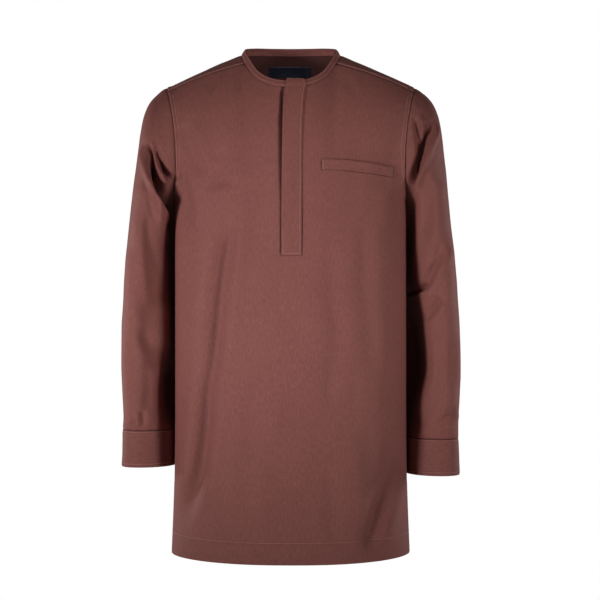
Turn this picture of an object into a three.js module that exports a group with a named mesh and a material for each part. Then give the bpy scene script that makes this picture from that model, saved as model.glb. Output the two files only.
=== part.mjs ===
// A collarless long-sleeved tunic, worn by nobody and filled out: every piece of cloth is a thin
// closed wall. Millimetres, +Z up, the front faces -Y and the wearer's left is +X. The origin is
// between the shoulders, at the height of the sides of the neck.
import * as THREE from 'three';

// Cloth and seams
const CLOTH = 1.2; // wall of one layer
const BAND_CLOTH = 1.6; // neckband and plackets, folded double
const CUFF_CLOTH = 2.0; // cuffs, double and interlined
const SEAM_GAP = 0.3; // between the walls of two joined pieces
const UNDERARM_GAP = 0.15; // drawn back further, where a sleeve turns sharply under the arm
const LAID_ON = 0.5; // from a panel to the piece that lies on it
const WELT_ON = 0.8; // the same under the pocket's welt
const ROUND = 2.4; // exponent of the body's sections, 2 is an ellipse
const SLEEVE_ROUND = 2.15; // exponent of the sleeves' sections

// How a panel's columns are rounded over at the armpit's level: how far each reaches up and down,
// over what height, the power by which that fades at the sides, and the weights of what it reaches
const SOFTEN = { reach: 60, spread: 150, sides: 8, weights: [0.1, 0.2, 0.4, 0.2, 0.1] };

// How late the pull of the upper edges reaches the rows of the front: powers of the height
const PULL = { back: 2.5, up: 1.3 };

// Heights
const ARMPIT_Z = -250;
const HEM_Z = -876;
const INSIDE_Z = -200; // of a point on the axis that every panel faces away from
const HEM_RISE = 4.5; // at the side seams
const PLACKET_END_Z = -352;
const SLIT_END_Z = -346;

// Levels of the body from the armpit to the hem: half the width, depth in front and behind
const BODY = [
  { z: -250, half: 206, front: 118, back: 112 },
  { z: -330, half: 205.5, front: 120, back: 109 },
  { z: -430, half: 205, front: 122, back: 107 },
  { z: -530, half: 205, front: 123, back: 109 },
  { z: -630, half: 205, front: 125, back: 113 },
  { z: -735, half: 206, front: 127.5, back: 117 },
  { z: -800, half: 208, front: 129.5, back: 119.5 },
  { z: -876, half: 211, front: 131.5, back: 122 },
];

// The middle of the front from the armpit's level to the neck, and of the back to the yoke
const CHEST = [
  { z: -250, y: -118 },
  { z: -200, y: -116.5 },
  { z: -150, y: -111.5 },
  { z: -100, y: -99 },
  { z: -57, y: -80 },
];
const BACK = [
  { z: -250, y: 112 },
  { z: -170, y: 113.5 },
  { z: -120, y: 111 },
  { z: -85, y: 106 },
];

// The left armhole from the armpit up the front, over the shoulder and down the back
const ARMHOLE = [
  { x: 206, y: 0, z: -250 },
  { x: 203, y: -27, z: -244 },
  { x: 200.5, y: -50, z: -227 },
  { x: 199, y: -66, z: -200 },
  { x: 199, y: -74, z: -168 },
  { x: 201.5, y: -72, z: -137 },
  { x: 205.5, y: -65, z: -108 },
  { x: 211, y: -50, z: -80 },
  { x: 216.5, y: -29, z: -60 },
  { x: 219, y: -10, z: -51 },
  { x: 219, y: 10, z: -50 },
  { x: 218, y: 30, z: -56 },
  { x: 214.5, y: 49, z: -72 },
  { x: 209.5, y: 64, z: -94 },
  { x: 205, y: 76, z: -124 },
  { x: 202, y: 82, z: -156 },
  { x: 201, y: 80, z: -188 },
  { x: 201.5, y: 68, z: -216 },
  { x: 203, y: 48, z: -238 },
  { x: 204.5, y: 25, z: -248 },
];
const FRONT_CORNER = 8; // row of ARMHOLE where the yoke's front seam ends
const BACK_CORNER = 13; // row of ARMHOLE where the yoke's back seam ends

// Half of the neckline, from the middle of the front round the left to the middle of the back
const NECKLINE = [
  { x: 0, y: -80, z: -57 },
  { x: 22, y: -78, z: -55.5 },
  { x: 42, y: -70, z: -50 },
  { x: 60, y: -55, z: -38.5 },
  { x: 73, y: -36, z: -22 },
  { x: 81, y: -20, z: -8 },
  { x: 88, y: 5, z: 8 },
  { x: 86, y: 28, z: 14 },
  { x: 68, y: 47, z: 18 },
  { x: 36, y: 58, z: 19 },
  { x: 0, y: 61, z: 19 },
];
const YOKE_CORNER = 5; // row of NECKLINE where the yoke's front seam starts
const YOKE_TURN = 7.4; // place on NECKLINE where the yoke's back corner is joined

// The yoke's front seam from the neck to the armhole
const SHOULDER_SEAM = [
  { x: 81, y: -20, z: -8 },
  { x: 105, y: -29, z: -16 },
  { x: 137, y: -33, z: -26.5 },
  { x: 175, y: -34, z: -41 },
  { x: 216.5, y: -29, z: -60 },
];
const YOKE_BULGE = 12; // roundness of the shoulder blades over the straight lines to the neck
const BULGE_WAY = new THREE.Vector3(0, 0.6, 0.8);

// Neckband: its width up the neck, and how much it leans in for how much it rises
const BAND = { wide: 12.5, lean: 0.57, rise: 0.82, rightEnd: -3, leftEnd: 9 };

// Upper placket: its edges by height, and how far it stands over the band
const PLACKET = [
  { z: -352, right: -17, left: 19.5 },
  { z: -140, right: -17, left: 20.5 },
  { z: -80, right: -14, left: 23.5 },
  { z: -52, right: -7.5, left: 29.5 },
];
const PLACKET_OVER_BAND = 3;
const PLACKET_LIFT = { high: 2.5, over: 120, curl: 3 }; // of its free edge, over the slit's end
const UNDER_PLACKET = { right: -20, left: 24, behind: 0.8, top: 0.96 };

// Chest pocket welt on the wearer's left: its top corners, and its width
const WELT = { inX: 53, inZ: -187, outX: 177, outZ: -197, wide: 18.5 };

// Label inside the yoke, by place along the back's rays and down from the neckline
const LABEL = { rightX: -41, leftX: 37, top: 0.24, bottom: 0.44, thick: 0.8 };

// The left sleeve: its outer and inner line down to the cuff, and how far its front and back
// stand off the middle between them. The inner line runs behind the side of the body.
const SLEEVE = [
  { outX: 219, outY: 0, outZ: -49.5, inX: 206, inY: 0, inZ: -250, front: 74, back: 82 },
  { outX: 237, outY: 0, outZ: -61, inX: 207.2, inY: 2, inZ: -254.5, front: 78, back: 82 },
  { outX: 251, outY: 0, outZ: -76, inX: 207.4, inY: 6, inZ: -262, front: 82, back: 80 },
  { outX: 260, outY: 0, outZ: -97, inX: 207.2, inY: 13, inZ: -273, front: 85.5, back: 75.5 },
  { outX: 266, outY: 0, outZ: -125, inX: 207, inY: 23, inZ: -288, front: 89.5, back: 68.5 },
  { outX: 271, outY: 0, outZ: -160, inX: 206.8, inY: 34, inZ: -307, front: 93, back: 61 },
  { outX: 276, outY: 1, outZ: -200, inX: 206.5, inY: 43, inZ: -330, front: 95, back: 54 },
  { outX: 281, outY: 2, outZ: -245, inX: 206, inY: 50, inZ: -357, front: 95, back: 48 },
  { outX: 286, outY: 3, outZ: -292, inX: 206, inY: 55, inZ: -387, front: 94, back: 43 },
  { outX: 291, outY: 3, outZ: -340, inX: 206, inY: 58, inZ: -419, front: 92.5, back: 38.5 },
  { outX: 295, outY: 2, outZ: -390, inX: 206, inY: 60, inZ: -453, front: 91, back: 34 },
  { outX: 298, outY: 0, outZ: -440, inX: 206, inY: 59, inZ: -489, front: 88.5, back: 30.5 },
  { outX: 300, outY: -2, outZ: -490, inX: 206, inY: 55, inZ: -527, front: 85.5, back: 28.5 },
  { outX: 300.5, outY: -4, outZ: -540, inX: 206, inY: 49, inZ: -565, front: 81.5, back: 26.5 },
  { outX: 299, outY: -6, outZ: -588, inX: 206.5, inY: 40, inZ: -603, front: 75, back: 24 },
  { outX: 297, outY: -8, outZ: -630, inX: 207, inY: 30, inZ: -638, front: 64, back: 21 },
  { outX: 297, outY: -9, outZ: -656, inX: 207, inY: 24, inZ: -657, front: 49.5, back: 14.5 },
];
const SLEEVE_SETTLE = 4; // rows over which the armhole's shape fades into the sleeve's own
// Rings over which folds fade at the seams, and how fast they fade round the sleeve's sides
const SLEEVE_FADE = { top: 3, end: 2, sides: 2 };
const SLEEVES = [
  { name: 'left', side: 1, drop: 15 },
  { name: 'right', side: -1, drop: 0 },
];
const CUFF = { deep: 64, spread: 2, lap: 26, lapAt: 270, lapGap: 0.5 };
const SLEEVE_PLACKET = { at: 283, wide: 22, long: 130, start: 2, on: 0.7 };
const STRIP_LEVELS = { nearest: 0.2, last: 0.5 }; // rows kept clear of the strip's top and foot
const BUTTON = { radius: 5.6, thick: 2.6, edge: 0.6, sides: 20, fromTop: 30, at: 283 };

const SIDE_FADE = 0.06; // part of the half width over which folds fade at the side seams
const FOLD_FADE = { times: 4, left: 0.15 }; // of a fold at the ends of its path

// Folds: a path on the cloth, half of its width, and its depth, under zero for a trough
const BODY_FOLDS = [
  {
    face: 'front', half: 24, deep: -6,
    path: [[-108, -235], [-118, -330], [-135, -480], [-150, -640], [-184, -800]],
  },
  {
    face: 'front', half: 24, deep: 4,
    path: [[-165, -520], [-176, -650], [-186, -760]],
  },
  {
    face: 'front', half: 26, deep: -3,
    path: [[118, -300], [136, -420], [140, -520]],
  },
  {
    face: 'front', half: 28, deep: -5,
    path: [[172, -640], [150, -760], [140, -850]],
  },
  {
    face: 'back', half: 40, deep: -5,
    path: [[0, -250], [-6, -450], [4, -650], [0, -860]],
  },
  {
    face: 'back', half: 32, deep: -5,
    path: [[-120, -270], [-112, -480], [-130, -700], [-126, -870]],
  },
  {
    face: 'back', half: 34, deep: -5,
    path: [[118, -300], [126, -500], [112, -720], [118, -870]],
  },
];
const SLEEVE_FOLDS = [
  {
    sleeve: 'both', face: 'front', half: 16, deep: -8,
    path: [[256, -112], [247, -165], [233, -225], [217, -290]],
  },
  {
    sleeve: 'both', face: 'front', half: 14, deep: -6,
    path: [[226, -130], [219, -185], [216, -240]],
  },
  {
    sleeve: 'left', face: 'front', half: 20, deep: -6,
    path: [[287, -290], [262, -345], [232, -400]],
  },
  {
    sleeve: 'left', face: 'front', half: 16, deep: -4,
    path: [[292, -600], [268, -640]],
  },
  {
    sleeve: 'right', face: 'front', half: 18, deep: -5,
    path: [[262, -270], [248, -400], [236, -500]],
  },
  {
    sleeve: 'both', face: 'front', half: 14, deep: -13,
    path: [[216, -430], [222, -520], [222, -600], [222, -640]],
  },
  {
    sleeve: 'both', face: 'back', half: 20, deep: -8,
    path: [[258, -130], [240, -220], [222, -300]],
  },
  {
    sleeve: 'both', face: 'back', half: 20, deep: -6,
    path: [[284, -330], [258, -390], [232, -425]],
  },
  {
    sleeve: 'both', face: 'back', half: 18, deep: -5,
    path: [[290, -420], [262, -455], [238, -480]],
  },
];

// Steps of the grids
const STEPS = {
  sideColumns: 9, // from the neck's corner to the side seam
  backColumns: 20,
  frontRows: 12, // above the armpit
  slitRows: 2, // from the armpit to the end of the slit
  lowerRows: 13, // from there to the hem
  backRows: 9,
  backLowerRows: 12,
  shoulderRays: 5,
  sleeveRings: 20,
  cuffSteps: 34,
};
const INNER_COLUMNS = [-57, -35, -14, 18, 37, 58]; // across the neck, the slit is between two
const SLIT = { from: -14, to: 18 };

// Colours and finishes
const CLOTH_COLOUR = 0x794c47;
const LABEL_COLOUR = 0x20233f;
const BUTTON_COLOUR = 0x4a2a27;
const CLOTH_ROUGHNESS = 0.8;
const BUTTON_ROUGHNESS = 0.4;

const mix = (a, b, t) => a + (b - a) * t;
const clamp = (t) => Math.min(1, Math.max(0, t));
const ease = (t) => clamp(t) * clamp(t) * (3 - 2 * clamp(t));
const vec = (x, y, z) => new THREE.Vector3(x, y, z);
const mirrored = (p) => vec(-p.x, p.y, p.z);

// Reads one column of a table as a smooth function of another, with even slopes at the rows.
function column(table, key, value) {
  const rows = [...table].sort((a, b) => a[key] - b[key]);
  const slopes = rows.map((row, i) => {
    const a = rows[Math.max(0, i - 1)];
    const b = rows[Math.min(rows.length - 1, i + 1)];
    return (b[value] - a[value]) / (b[key] - a[key]);
  });
  return (at) => {
    let i = 0;
    while (i < rows.length - 2 && at > rows[i + 1][key]) i += 1;
    const a = rows[i];
    const b = rows[i + 1];
    const span = b[key] - a[key];
    const t = clamp((at - a[key]) / span);
    const t2 = t * t;
    const t3 = t2 * t;
    return (
      a[value] * (2 * t3 - 3 * t2 + 1) +
      b[value] * (3 * t2 - 2 * t3) +
      span * (slopes[i] * (t3 - 2 * t2 + t) + slopes[i + 1] * (t3 - t2))
    );
  };
}

// Finds where a rising function reaches a value.
function solve(rising, value, low, high) {
  let a = low;
  let b = high;
  for (let i = 0; i < 40; i += 1) {
    const middle = (a + b) / 2;
    if (rising(middle) < value) a = middle;
    else b = middle;
  }
  return (a + b) / 2;
}

const half = column(BODY, 'z', 'half');
const frontDepth = column(BODY, 'z', 'front');
const backDepth = column(BODY, 'z', 'back');
const chestY = column(CHEST, 'z', 'y');
const backY = column(BACK, 'z', 'y');
const chestTop = CHEST[CHEST.length - 1].z;
const backTop = BACK[BACK.length - 1].z;

const armholeCurve = new THREE.CatmullRomCurve3(ARMHOLE.map((p) => vec(p.x, p.y, p.z)), true);
const armhole = (row) => armholeCurve.getPoint((row / ARMHOLE.length) % 1);

const neckRing = [...NECKLINE, ...NECKLINE.slice(1, -1).reverse().map((p) => ({ ...p, x: -p.x }))];
const neckCurve = new THREE.CatmullRomCurve3(neckRing.map((p) => vec(p.x, p.y, p.z)), true);
const neckline = (row) => neckCurve.getPoint((row / neckRing.length + 1) % 1);

// The neckline's point over a place x of the front.
function neckAt(x) {
  const row = solve((t) => neckline(t).x, Math.abs(x), 0, YOKE_CORNER);
  const p = neckline(row);
  return x < 0 ? mirrored(p) : p;
}

const seamCurve = new THREE.CatmullRomCurve3(SHOULDER_SEAM.map((p) => vec(p.x, p.y, p.z)));
const shoulderSeam = (x) => seamCurve.getPoint(solve((t) => seamCurve.getPoint(t).x, x, 0, 1));

const neckCornerX = NECKLINE[YOKE_CORNER].x;
const shoulderX = ARMHOLE[FRONT_CORNER].x;
const cornerColumn = neckCornerX / shoulderX;

// How far round a section a column at part q of the half width stands forward, from 1 to 0.
const rounded = (q, power) => Math.pow(1 - Math.pow(Math.abs(q), power), 1 / power);

// The body below the armpit, q from -1 to 1 across. sign is -1 for the front.
// The rows rise a little towards the side seams, most of all at the hem.
function lowerBody(q, z, sign) {
  const depth = sign < 0 ? frontDepth(z) : backDepth(z);
  const hang = Math.max(0, (ARMPIT_Z - z) / (ARMPIT_Z - HEM_Z));
  return vec(q * half(z), sign * depth * rounded(q, ROUND), z + HEM_RISE * q * q * hang ** 3);
}

// The body above the armpit: a row goes from the armhole's point to the middle and back, and
// gets flatter as it rises.
function upperBody(q, edge, middle, flat) {
  const over = mix(rounded(q, ROUND), 1 - q * q, flat);
  return vec(
    q * edge.x,
    mix(edge.y, middle.y, over),
    mix(edge.z, middle.z, 1 - q * q),
  );
}

function frontTop(q) {
  const x = q * shoulderX;
  if (Math.abs(x) <= neckCornerX) return neckAt(x);
  const p = shoulderSeam(Math.abs(x));
  return x < 0 ? mirrored(p) : p;
}

// The front above the armpit: v is 0 at the armpit's level and 1 at the neckline and the
// shoulder seams, which pull the rows up and back.
function upperFront(q, v) {
  const at = (t) => {
    const z = mix(ARMPIT_Z, chestTop, t);
    return upperBody(q, armhole(t * FRONT_CORNER), vec(0, chestY(z), z), ease(2 * t));
  };
  const p = at(v);
  const pull = frontTop(q).sub(at(1));
  return vec(
    p.x + pull.x * v,
    p.y + pull.y * Math.pow(v, PULL.back),
    p.z + pull.z * Math.pow(v, PULL.up),
  );
}

function upperBack(q, v) {
  const z = mix(ARMPIT_Z, backTop, v);
  const edge = armhole(mix(ARMHOLE.length, BACK_CORNER, v));
  return upperBody(q, edge, vec(0, backY(z), z), ease(2 * v));
}

// A panel at a row: over zero it is a part of the way up from the armpit's level, and under zero
// a part of the way down to the hem. Across the armpit's level its columns are rounded over, so
// that the side below it runs smoothly into the chest.
function panelPoint(q, v, sign, upper) {
  const up = (sign < 0 ? chestTop : backTop) - ARMPIT_Z;
  const down = ARMPIT_Z - HEM_Z;
  const at = (s) => (s > 0 ? upper(q, Math.min(1, s / up)) : lowerBody(q, ARMPIT_Z + s, sign));
  const s = v > 0 ? v * up : v * down;
  const inwards = 1 - Math.abs(q) ** SOFTEN.sides;
  const reach = SOFTEN.reach * (1 - ease(Math.abs(s) / SOFTEN.spread)) * inwards;
  const sum = vec(0, 0, 0);
  SOFTEN.weights.forEach((weight, i) => {
    const t = (2 * i) / (SOFTEN.weights.length - 1) - 1;
    sum.addScaledVector(at(s + t * reach), weight);
  });
  return sum;
}
const frontPoint = (q, v) => panelPoint(q, v, -1, upperFront);
const backPoint = (q, v) => panelPoint(q, v, 1, upperBack);

// The front's point and outward direction at a column and a row.
function frontFrame(q, row) {
  const step = 0.01; // part of the half width, and of the height
  const along = frontPoint(q + step, row).sub(frontPoint(q - step, row));
  const up = frontPoint(q, Math.min(1, row + step)).sub(frontPoint(q, row - step));
  return { point: frontPoint(q, row), out: along.cross(up).normalize() };
}

// The front's width at a row, so that x over it is a column.
const frontWidth = (row) =>
  row <= 0 ? half(mix(ARMPIT_Z, HEM_Z, -row)) : armhole(row * FRONT_CORNER).x;

// The same at a place x and height z.
function onFront(x, z) {
  let row = (ARMPIT_Z - z) / (HEM_Z - ARMPIT_Z);
  if (z > ARMPIT_Z) row = solve((v) => upperFront(x / frontWidth(v), v).z, z, 0, 1);
  return frontFrame(x / frontWidth(row), row);
}

// How far folds move a point of the cloth in or out. Each fades at the ends of its path.
function foldDepth(folds, x, z, face) {
  let total = 0;
  for (const fold of folds) {
    if (fold.face !== face) continue;
    let best = Infinity;
    let along = 0;
    const parts = fold.path.length - 1;
    for (let i = 0; i < parts; i += 1) {
      const [ax, az] = fold.path[i];
      const [bx, bz] = fold.path[i + 1];
      const length2 = (bx - ax) ** 2 + (bz - az) ** 2;
      const t = clamp(((x - ax) * (bx - ax) + (z - az) * (bz - az)) / length2);
      const away = Math.hypot(x - mix(ax, bx, t), z - mix(az, bz, t));
      if (away < best) {
        best = away;
        along = (i + t) / parts;
      }
    }
    const { times, left } = FOLD_FADE;
    const fade = ease(along * times + left) * ease((1 - along) * times + left);
    total += fold.deep * fade * Math.exp(-((best / fold.half) ** 2));
  }
  return total;
}

// A grid of points: rows of columns, with an outward direction at each. ring says that a row
// closes on itself. The directions come from the neighbours along and across.
function gridOf(rows, ring = false) {
  const wide = rows[0].length;
  const at = (i, j) => rows[i][ring ? (j + wide) % wide : Math.min(wide - 1, Math.max(0, j))];
  const outs = rows.map((row, i) =>
    row.map((_, j) => {
      const across = at(i, j + 1).clone().sub(at(i, j - 1));
      const up = at(Math.min(rows.length - 1, i + 1), j).clone();
      up.sub(at(Math.max(0, i - 1), j));
      return across.cross(up).normalize();
    }),
  );
  let facing = 0;
  rows.forEach((row, i) => {
    const centre = row.reduce((sum, p) => sum.add(p), vec(0, 0, 0)).divideScalar(wide);
    if (!ring) centre.set(0, 0, INSIDE_Z);
    row.forEach((p, j) => {
      facing += outs[i][j].dot(p.clone().sub(centre));
    });
  });
  if (facing < 0) outs.flat().forEach((out) => out.negate());
  return { rows, outs, own: outs.map((row) => [...row]), ring };
}

// Pieces that meet at a seam get the same direction there, so that their walls end face to face.
// It is half way between the side of the body and the sleeve, however many pieces each has there.
function shareDirections(sides) {
  const sums = new Map();
  const key = (p) => `${p.x.toFixed(2)} ${p.y.toFixed(2)} ${p.z.toFixed(2)}`;
  const each = (grids, work) =>
    grids.forEach((grid) =>
      grid.rows.forEach((row, i) => row.forEach((p, j) => work(key(p), grid.outs[i], j))),
    );
  sides.forEach((grids, side) =>
    each(grids, (name, outs, j) => {
      if (!sums.has(name)) sums.set(name, sides.map(() => vec(0, 0, 0)));
      sums.get(name)[side].add(outs[j]);
    }),
  );
  sums.forEach((ways, name) => {
    const shared = vec(0, 0, 0);
    ways.filter((way) => way.length() > 0).forEach((way) => shared.add(way.normalize()));
    sums.set(name, shared.normalize());
  });
  each(sides.flat(), (name, outs, j) => {
    outs[j] = sums.get(name).clone();
  });
}

// Moves the points of a grid by its folds, along the outward directions.
function crease(grid, depthAt) {
  grid.rows.forEach((row, i) =>
    row.forEach((p, j) => {
      const depth = depthAt(p, grid.outs[i][j], i, j);
      row[j] = p.clone().addScaledVector(grid.outs[i][j], depth);
    }),
  );
}

// Draws a grid's sewn edges back by half of the seam's gap, square to the edge and in the cloth.
// more says how much further at a column.
function trim(grid, edges, more = () => 0) {
  const { rows, own } = grid;
  const last = rows.length - 1;
  const wide = rows[0].length - 1;
  const near = (i, j) => rows[Math.min(last, Math.max(0, i))][Math.min(wide, Math.max(0, j))];
  const moved = [];
  const back = (i, j, di, dj) => {
    const edge = near(i + dj, j + di).clone().sub(near(i - dj, j - di));
    const way = own[i][j].clone().cross(edge).normalize();
    if (way.dot(near(i + di, j + dj).clone().sub(rows[i][j])) < 0) way.negate();
    moved.push([i, j, way.multiplyScalar(SEAM_GAP / 2 + more(j))]);
  };
  rows[0].forEach((_, j) => edges.includes('first') && back(0, j, 1, 0));
  rows[last].forEach((_, j) => edges.includes('last') && back(last, j, -1, 0));
  rows.forEach((_, i) => edges.includes('start') && back(i, 0, 0, 1));
  rows.forEach((_, i) => edges.includes('end') && back(i, wide, 0, -1));
  moved.forEach(([i, j, way]) => {
    rows[i][j] = rows[i][j].clone().add(way);
  });
}

// The closed wall of a grid: its points, the same points moved in by the thickness, and a rim
// along every edge that has a cell on one side only. open says which cells are cut out.
function wall(grid, thick, open = () => false) {
  const { rows, outs, ring } = grid;
  const wide = rows[0].length;
  const cells = ring ? wide : wide - 1;
  const count = rows.length * wide;
  const positions = [];
  rows.forEach((row) => row.forEach((p) => positions.push(p.x, p.y, p.z)));
  rows.forEach((row, i) =>
    row.forEach((p, j) => {
      const q = p.clone().addScaledVector(outs[i][j], -thick);
      positions.push(q.x, q.y, q.z);
    }),
  );
  const index = (i, j) => i * wide + (j % wide);
  const cut = (i, j) => {
    if (i < 0 || i >= rows.length - 1) return true;
    if (!ring && (j < 0 || j >= cells)) return true;
    return open(i, (j + cells) % cells);
  };
  const faces = [];
  const quad = (a, b, c, d) => faces.push(a, b, c, a, c, d);
  const rim = (a, b) => quad(b, a, a + count, b + count);
  for (let i = 0; i < rows.length - 1; i += 1) {
    for (let j = 0; j < cells; j += 1) {
      if (cut(i, j)) continue;
      const [a, b, c, d] = [index(i, j), index(i, j + 1), index(i + 1, j + 1), index(i + 1, j)];
      quad(a, b, c, d);
      quad(d + count, c + count, b + count, a + count);
      if (cut(i - 1, j)) rim(a, b);
      if (cut(i + 1, j)) rim(c, d);
      if (cut(i, j - 1)) rim(d, a);
      if (cut(i, j + 1)) rim(b, c);
    }
  }
  return solid(positions, faces);
}

// A geometry of used points and faces, turned so that the faces point out.
function solid(positions, faces) {
  const places = new Map();
  const kept = [];
  const renumbered = faces.map((at) => {
    if (!places.has(at)) {
      places.set(at, kept.length / 3);
      kept.push(...positions.slice(3 * at, 3 * at + 3));
    }
    return places.get(at);
  });
  const p = (i) => vec(kept[3 * i], kept[3 * i + 1], kept[3 * i + 2]);
  let volume = 0;
  for (let i = 0; i < renumbered.length; i += 3) {
    const [a, b, c] = renumbered.slice(i, i + 3).map(p);
    volume += a.dot(b.cross(c)) / 6;
  }
  if (volume < 0) {
    for (let i = 0; i < renumbered.length; i += 3) {
      [renumbered[i], renumbered[i + 1]] = [renumbered[i + 1], renumbered[i]];
    }
  }
  const geometry = new THREE.BufferGeometry();
  geometry.setAttribute('position', new THREE.Float32BufferAttribute(kept, 3));
  geometry.setIndex(renumbered);
  geometry.computeVertexNormals();
  return geometry;
}

// Columns of the front: those over the neck, and on each side as many as round it off evenly.
function frontColumns() {
  const first = Math.asin(Math.pow(cornerColumn, ROUND / 2));
  const sides = [];
  for (let i = 0; i <= STEPS.sideColumns; i += 1) {
    const angle = mix(first, Math.PI / 2, i / STEPS.sideColumns);
    sides.push(Math.pow(Math.sin(angle), 2 / ROUND));
  }
  sides[0] = cornerColumn;
  sides[STEPS.sideColumns] = 1;
  const inner = INNER_COLUMNS.map((x) => x / half(ARMPIT_Z));
  return [...sides.map((q) => -q).reverse(), ...inner, ...sides];
}

function backColumns() {
  const columns = [];
  for (let i = 0; i <= STEPS.backColumns; i += 1) {
    const sine = Math.cos((Math.PI * i) / STEPS.backColumns);
    columns.push(Math.sign(sine) * Math.pow(Math.abs(sine), 2 / ROUND));
  }
  columns[STEPS.backColumns / 2] = 0;
  return columns;
}

const evenly = (steps, from, to) =>
  Array.from({ length: steps + 1 }, (_, i) => mix(from, to, i / steps));

const slitRow = -(SLIT_END_Z - ARMPIT_Z) / (HEM_Z - ARMPIT_Z);
const frontRows = [
  ...evenly(STEPS.lowerRows, -1, slitRow).slice(0, -1),
  ...evenly(STEPS.slitRows, slitRow, 0).slice(0, -1),
  ...evenly(STEPS.frontRows, 0, 1),
];
const backRows = [
  ...evenly(STEPS.backLowerRows, -1, 0).slice(0, -1),
  ...evenly(STEPS.backRows, 0, 1),
];
const columnsFront = frontColumns();
const columnsBack = backColumns();

const frontGrid = gridOf(frontRows.map((v) => columnsFront.map((q) => frontPoint(q, v))));
const backGrid = gridOf(backRows.map((v) => columnsBack.map((q) => backPoint(q, v))));

// The yoke: rays from the neckline out to the armholes and the back seam. The first and last
// rays are the shoulder seams, and the middle ones end on the back's top row.
const seamParts = columnsFront
  .slice(-STEPS.sideColumns - 1)
  .map((q) => (q * shoulderX - neckCornerX) / (shoulderX - neckCornerX));

function shoulderRay(i) {
  const t = i / STEPS.shoulderRays;
  const inner = neckline(mix(YOKE_CORNER, YOKE_TURN, t));
  const outer = armhole(mix(FRONT_CORNER, BACK_CORNER, t));
  const seam = (1 - t) ** 2;
  return seamParts.map((r) => {
    const start = neckline(YOKE_CORNER).lerp(armhole(FRONT_CORNER), r);
    const bend = shoulderSeam(mix(neckCornerX, shoulderX, r)).sub(start);
    const bulge = YOKE_BULGE * t * t * 4 * r * (1 - r);
    const ray = inner.clone().lerp(outer, r).addScaledVector(bend, seam);
    return ray.addScaledVector(BULGE_WAY, bulge);
  });
}

function backRay(q, place) {
  const inner = neckline(mix(YOKE_TURN, neckRing.length - YOKE_TURN, place));
  const outer = backPoint(q, 1);
  return seamParts.map((r) => {
    const bulge = YOKE_BULGE * 4 * r * (1 - r);
    return inner.clone().lerp(outer, r).addScaledVector(BULGE_WAY, bulge);
  });
}

const leftRays = evenly(STEPS.shoulderRays, 0, STEPS.shoulderRays).map(shoulderRay);
const middleRays = columnsBack.map((q, i) => backRay(q, i / STEPS.backColumns)).slice(1, -1);
const rightRays = leftRays.map((ray) => ray.map(mirrored)).reverse();
const yokeGrid = gridOf([...leftRays, ...middleRays, ...rightRays]);

// The neckband stands on the neckline of the front and the yoke, from one side of the placket
// round the back to the other.
const frontNeck = columnsFront.filter((q) => Math.abs(q) < cornerColumn).map((q) => frontTop(q));
const bandFoot = [
  neckAt(BAND.leftEnd),
  ...frontNeck.filter((p) => p.x > 0),
  ...yokeGrid.rows.map((ray) => ray[0]),
  ...frontNeck.filter((p) => p.x < 0),
  neckAt(BAND.rightEnd),
];
function upBand(foot, distance) {
  const inward = vec(-foot.x, -foot.y, 0).normalize();
  return foot.clone().addScaledVector(inward, BAND.lean * distance).add(vec(0, 0, BAND.rise * distance));
}
const bandRows = evenly(2, 0, BAND.wide);
const bandGrid = gridOf(bandRows.map((up) => bandFoot.map((foot) => upBand(foot, up))));

// The armhole's points as the front, the yoke and the back have them, in order round the hole.
const armholeRing = [
  ...evenly(STEPS.frontRows, 0, FRONT_CORNER).slice(0, -1),
  ...evenly(STEPS.shoulderRays, FRONT_CORNER, BACK_CORNER).slice(0, -1),
  ...evenly(STEPS.backRows, BACK_CORNER, ARMHOLE.length).slice(0, -1),
].map(armhole);

const sleeveColumns = Object.fromEntries(
  ['outX', 'outY', 'outZ', 'inX', 'inY', 'inZ', 'front', 'back'].map((name) => [
    name,
    column(SLEEVE.map((row, i) => ({ ...row, i })), 'i', name),
  ]),
);

// The sleeve's section at a row: an oval between its outer and inner line. The angle is 0 at the
// outer line and a quarter turn at the front.
function sleeveSection(row, angle) {
  const s = sleeveColumns;
  const outer = vec(s.outX(row), s.outY(row), s.outZ(row));
  const inner = vec(s.inX(row), s.inY(row), s.inZ(row));
  const power = (t) => Math.sign(t) * Math.pow(Math.abs(t), 2 / SLEEVE_ROUND);
  const across = power(Math.cos(angle));
  const forward = power(Math.sin(angle));
  const centre = outer.clone().add(inner).multiplyScalar(0.5);
  centre.addScaledVector(outer.sub(inner), across / 2);
  centre.y -= forward * (forward > 0 ? s.front(row) : s.back(row));
  return centre;
}

const lastRow = SLEEVE.length - 1;
const armholeCentre = sleeveSection(0, 0).add(sleeveSection(0, Math.PI)).multiplyScalar(0.5);
const armholeReach = sleeveSection(0, 0).sub(armholeCentre);
const armholeAngles = armholeRing.map((p) => {
  const away = p.clone().sub(armholeCentre);
  const across = away.dot(armholeReach) / armholeReach.lengthSq();
  const depth = away.y < 0 ? SLEEVE[0].front : SLEEVE[0].back;
  return Math.atan2(-away.y / depth, across);
});

// A sleeve's point: the oval section, moved near the top to meet the armhole's own points, and
// lowered along its length by the sleeve's drop.
function sleevePoint(row, k, drop) {
  const p = sleeveSection(row, armholeAngles[k]);
  const own = armholeRing[k].clone().sub(sleeveSection(0, armholeAngles[k]));
  p.addScaledVector(own, 1 - ease(row / SLEEVE_SETTLE));
  p.z -= drop * (row / lastRow);
  return p;
}

function sleeveGrid({ side, drop }) {
  const rings = evenly(STEPS.sleeveRings, 0, lastRow).map((row) =>
    armholeRing.map((_, k) => sleevePoint(row, k, drop)),
  );
  return gridOf(side > 0 ? rings : rings.map((ring) => ring.map(mirrored)), true);
}

// The cuff: a strip round the wrist whose ends lap, the outer end over the inner one.
const sleeveMiddle = (row) =>
  sleeveSection(row, 0).add(sleeveSection(row, Math.PI)).multiplyScalar(0.5);
const radians = THREE.MathUtils.degToRad;

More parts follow.
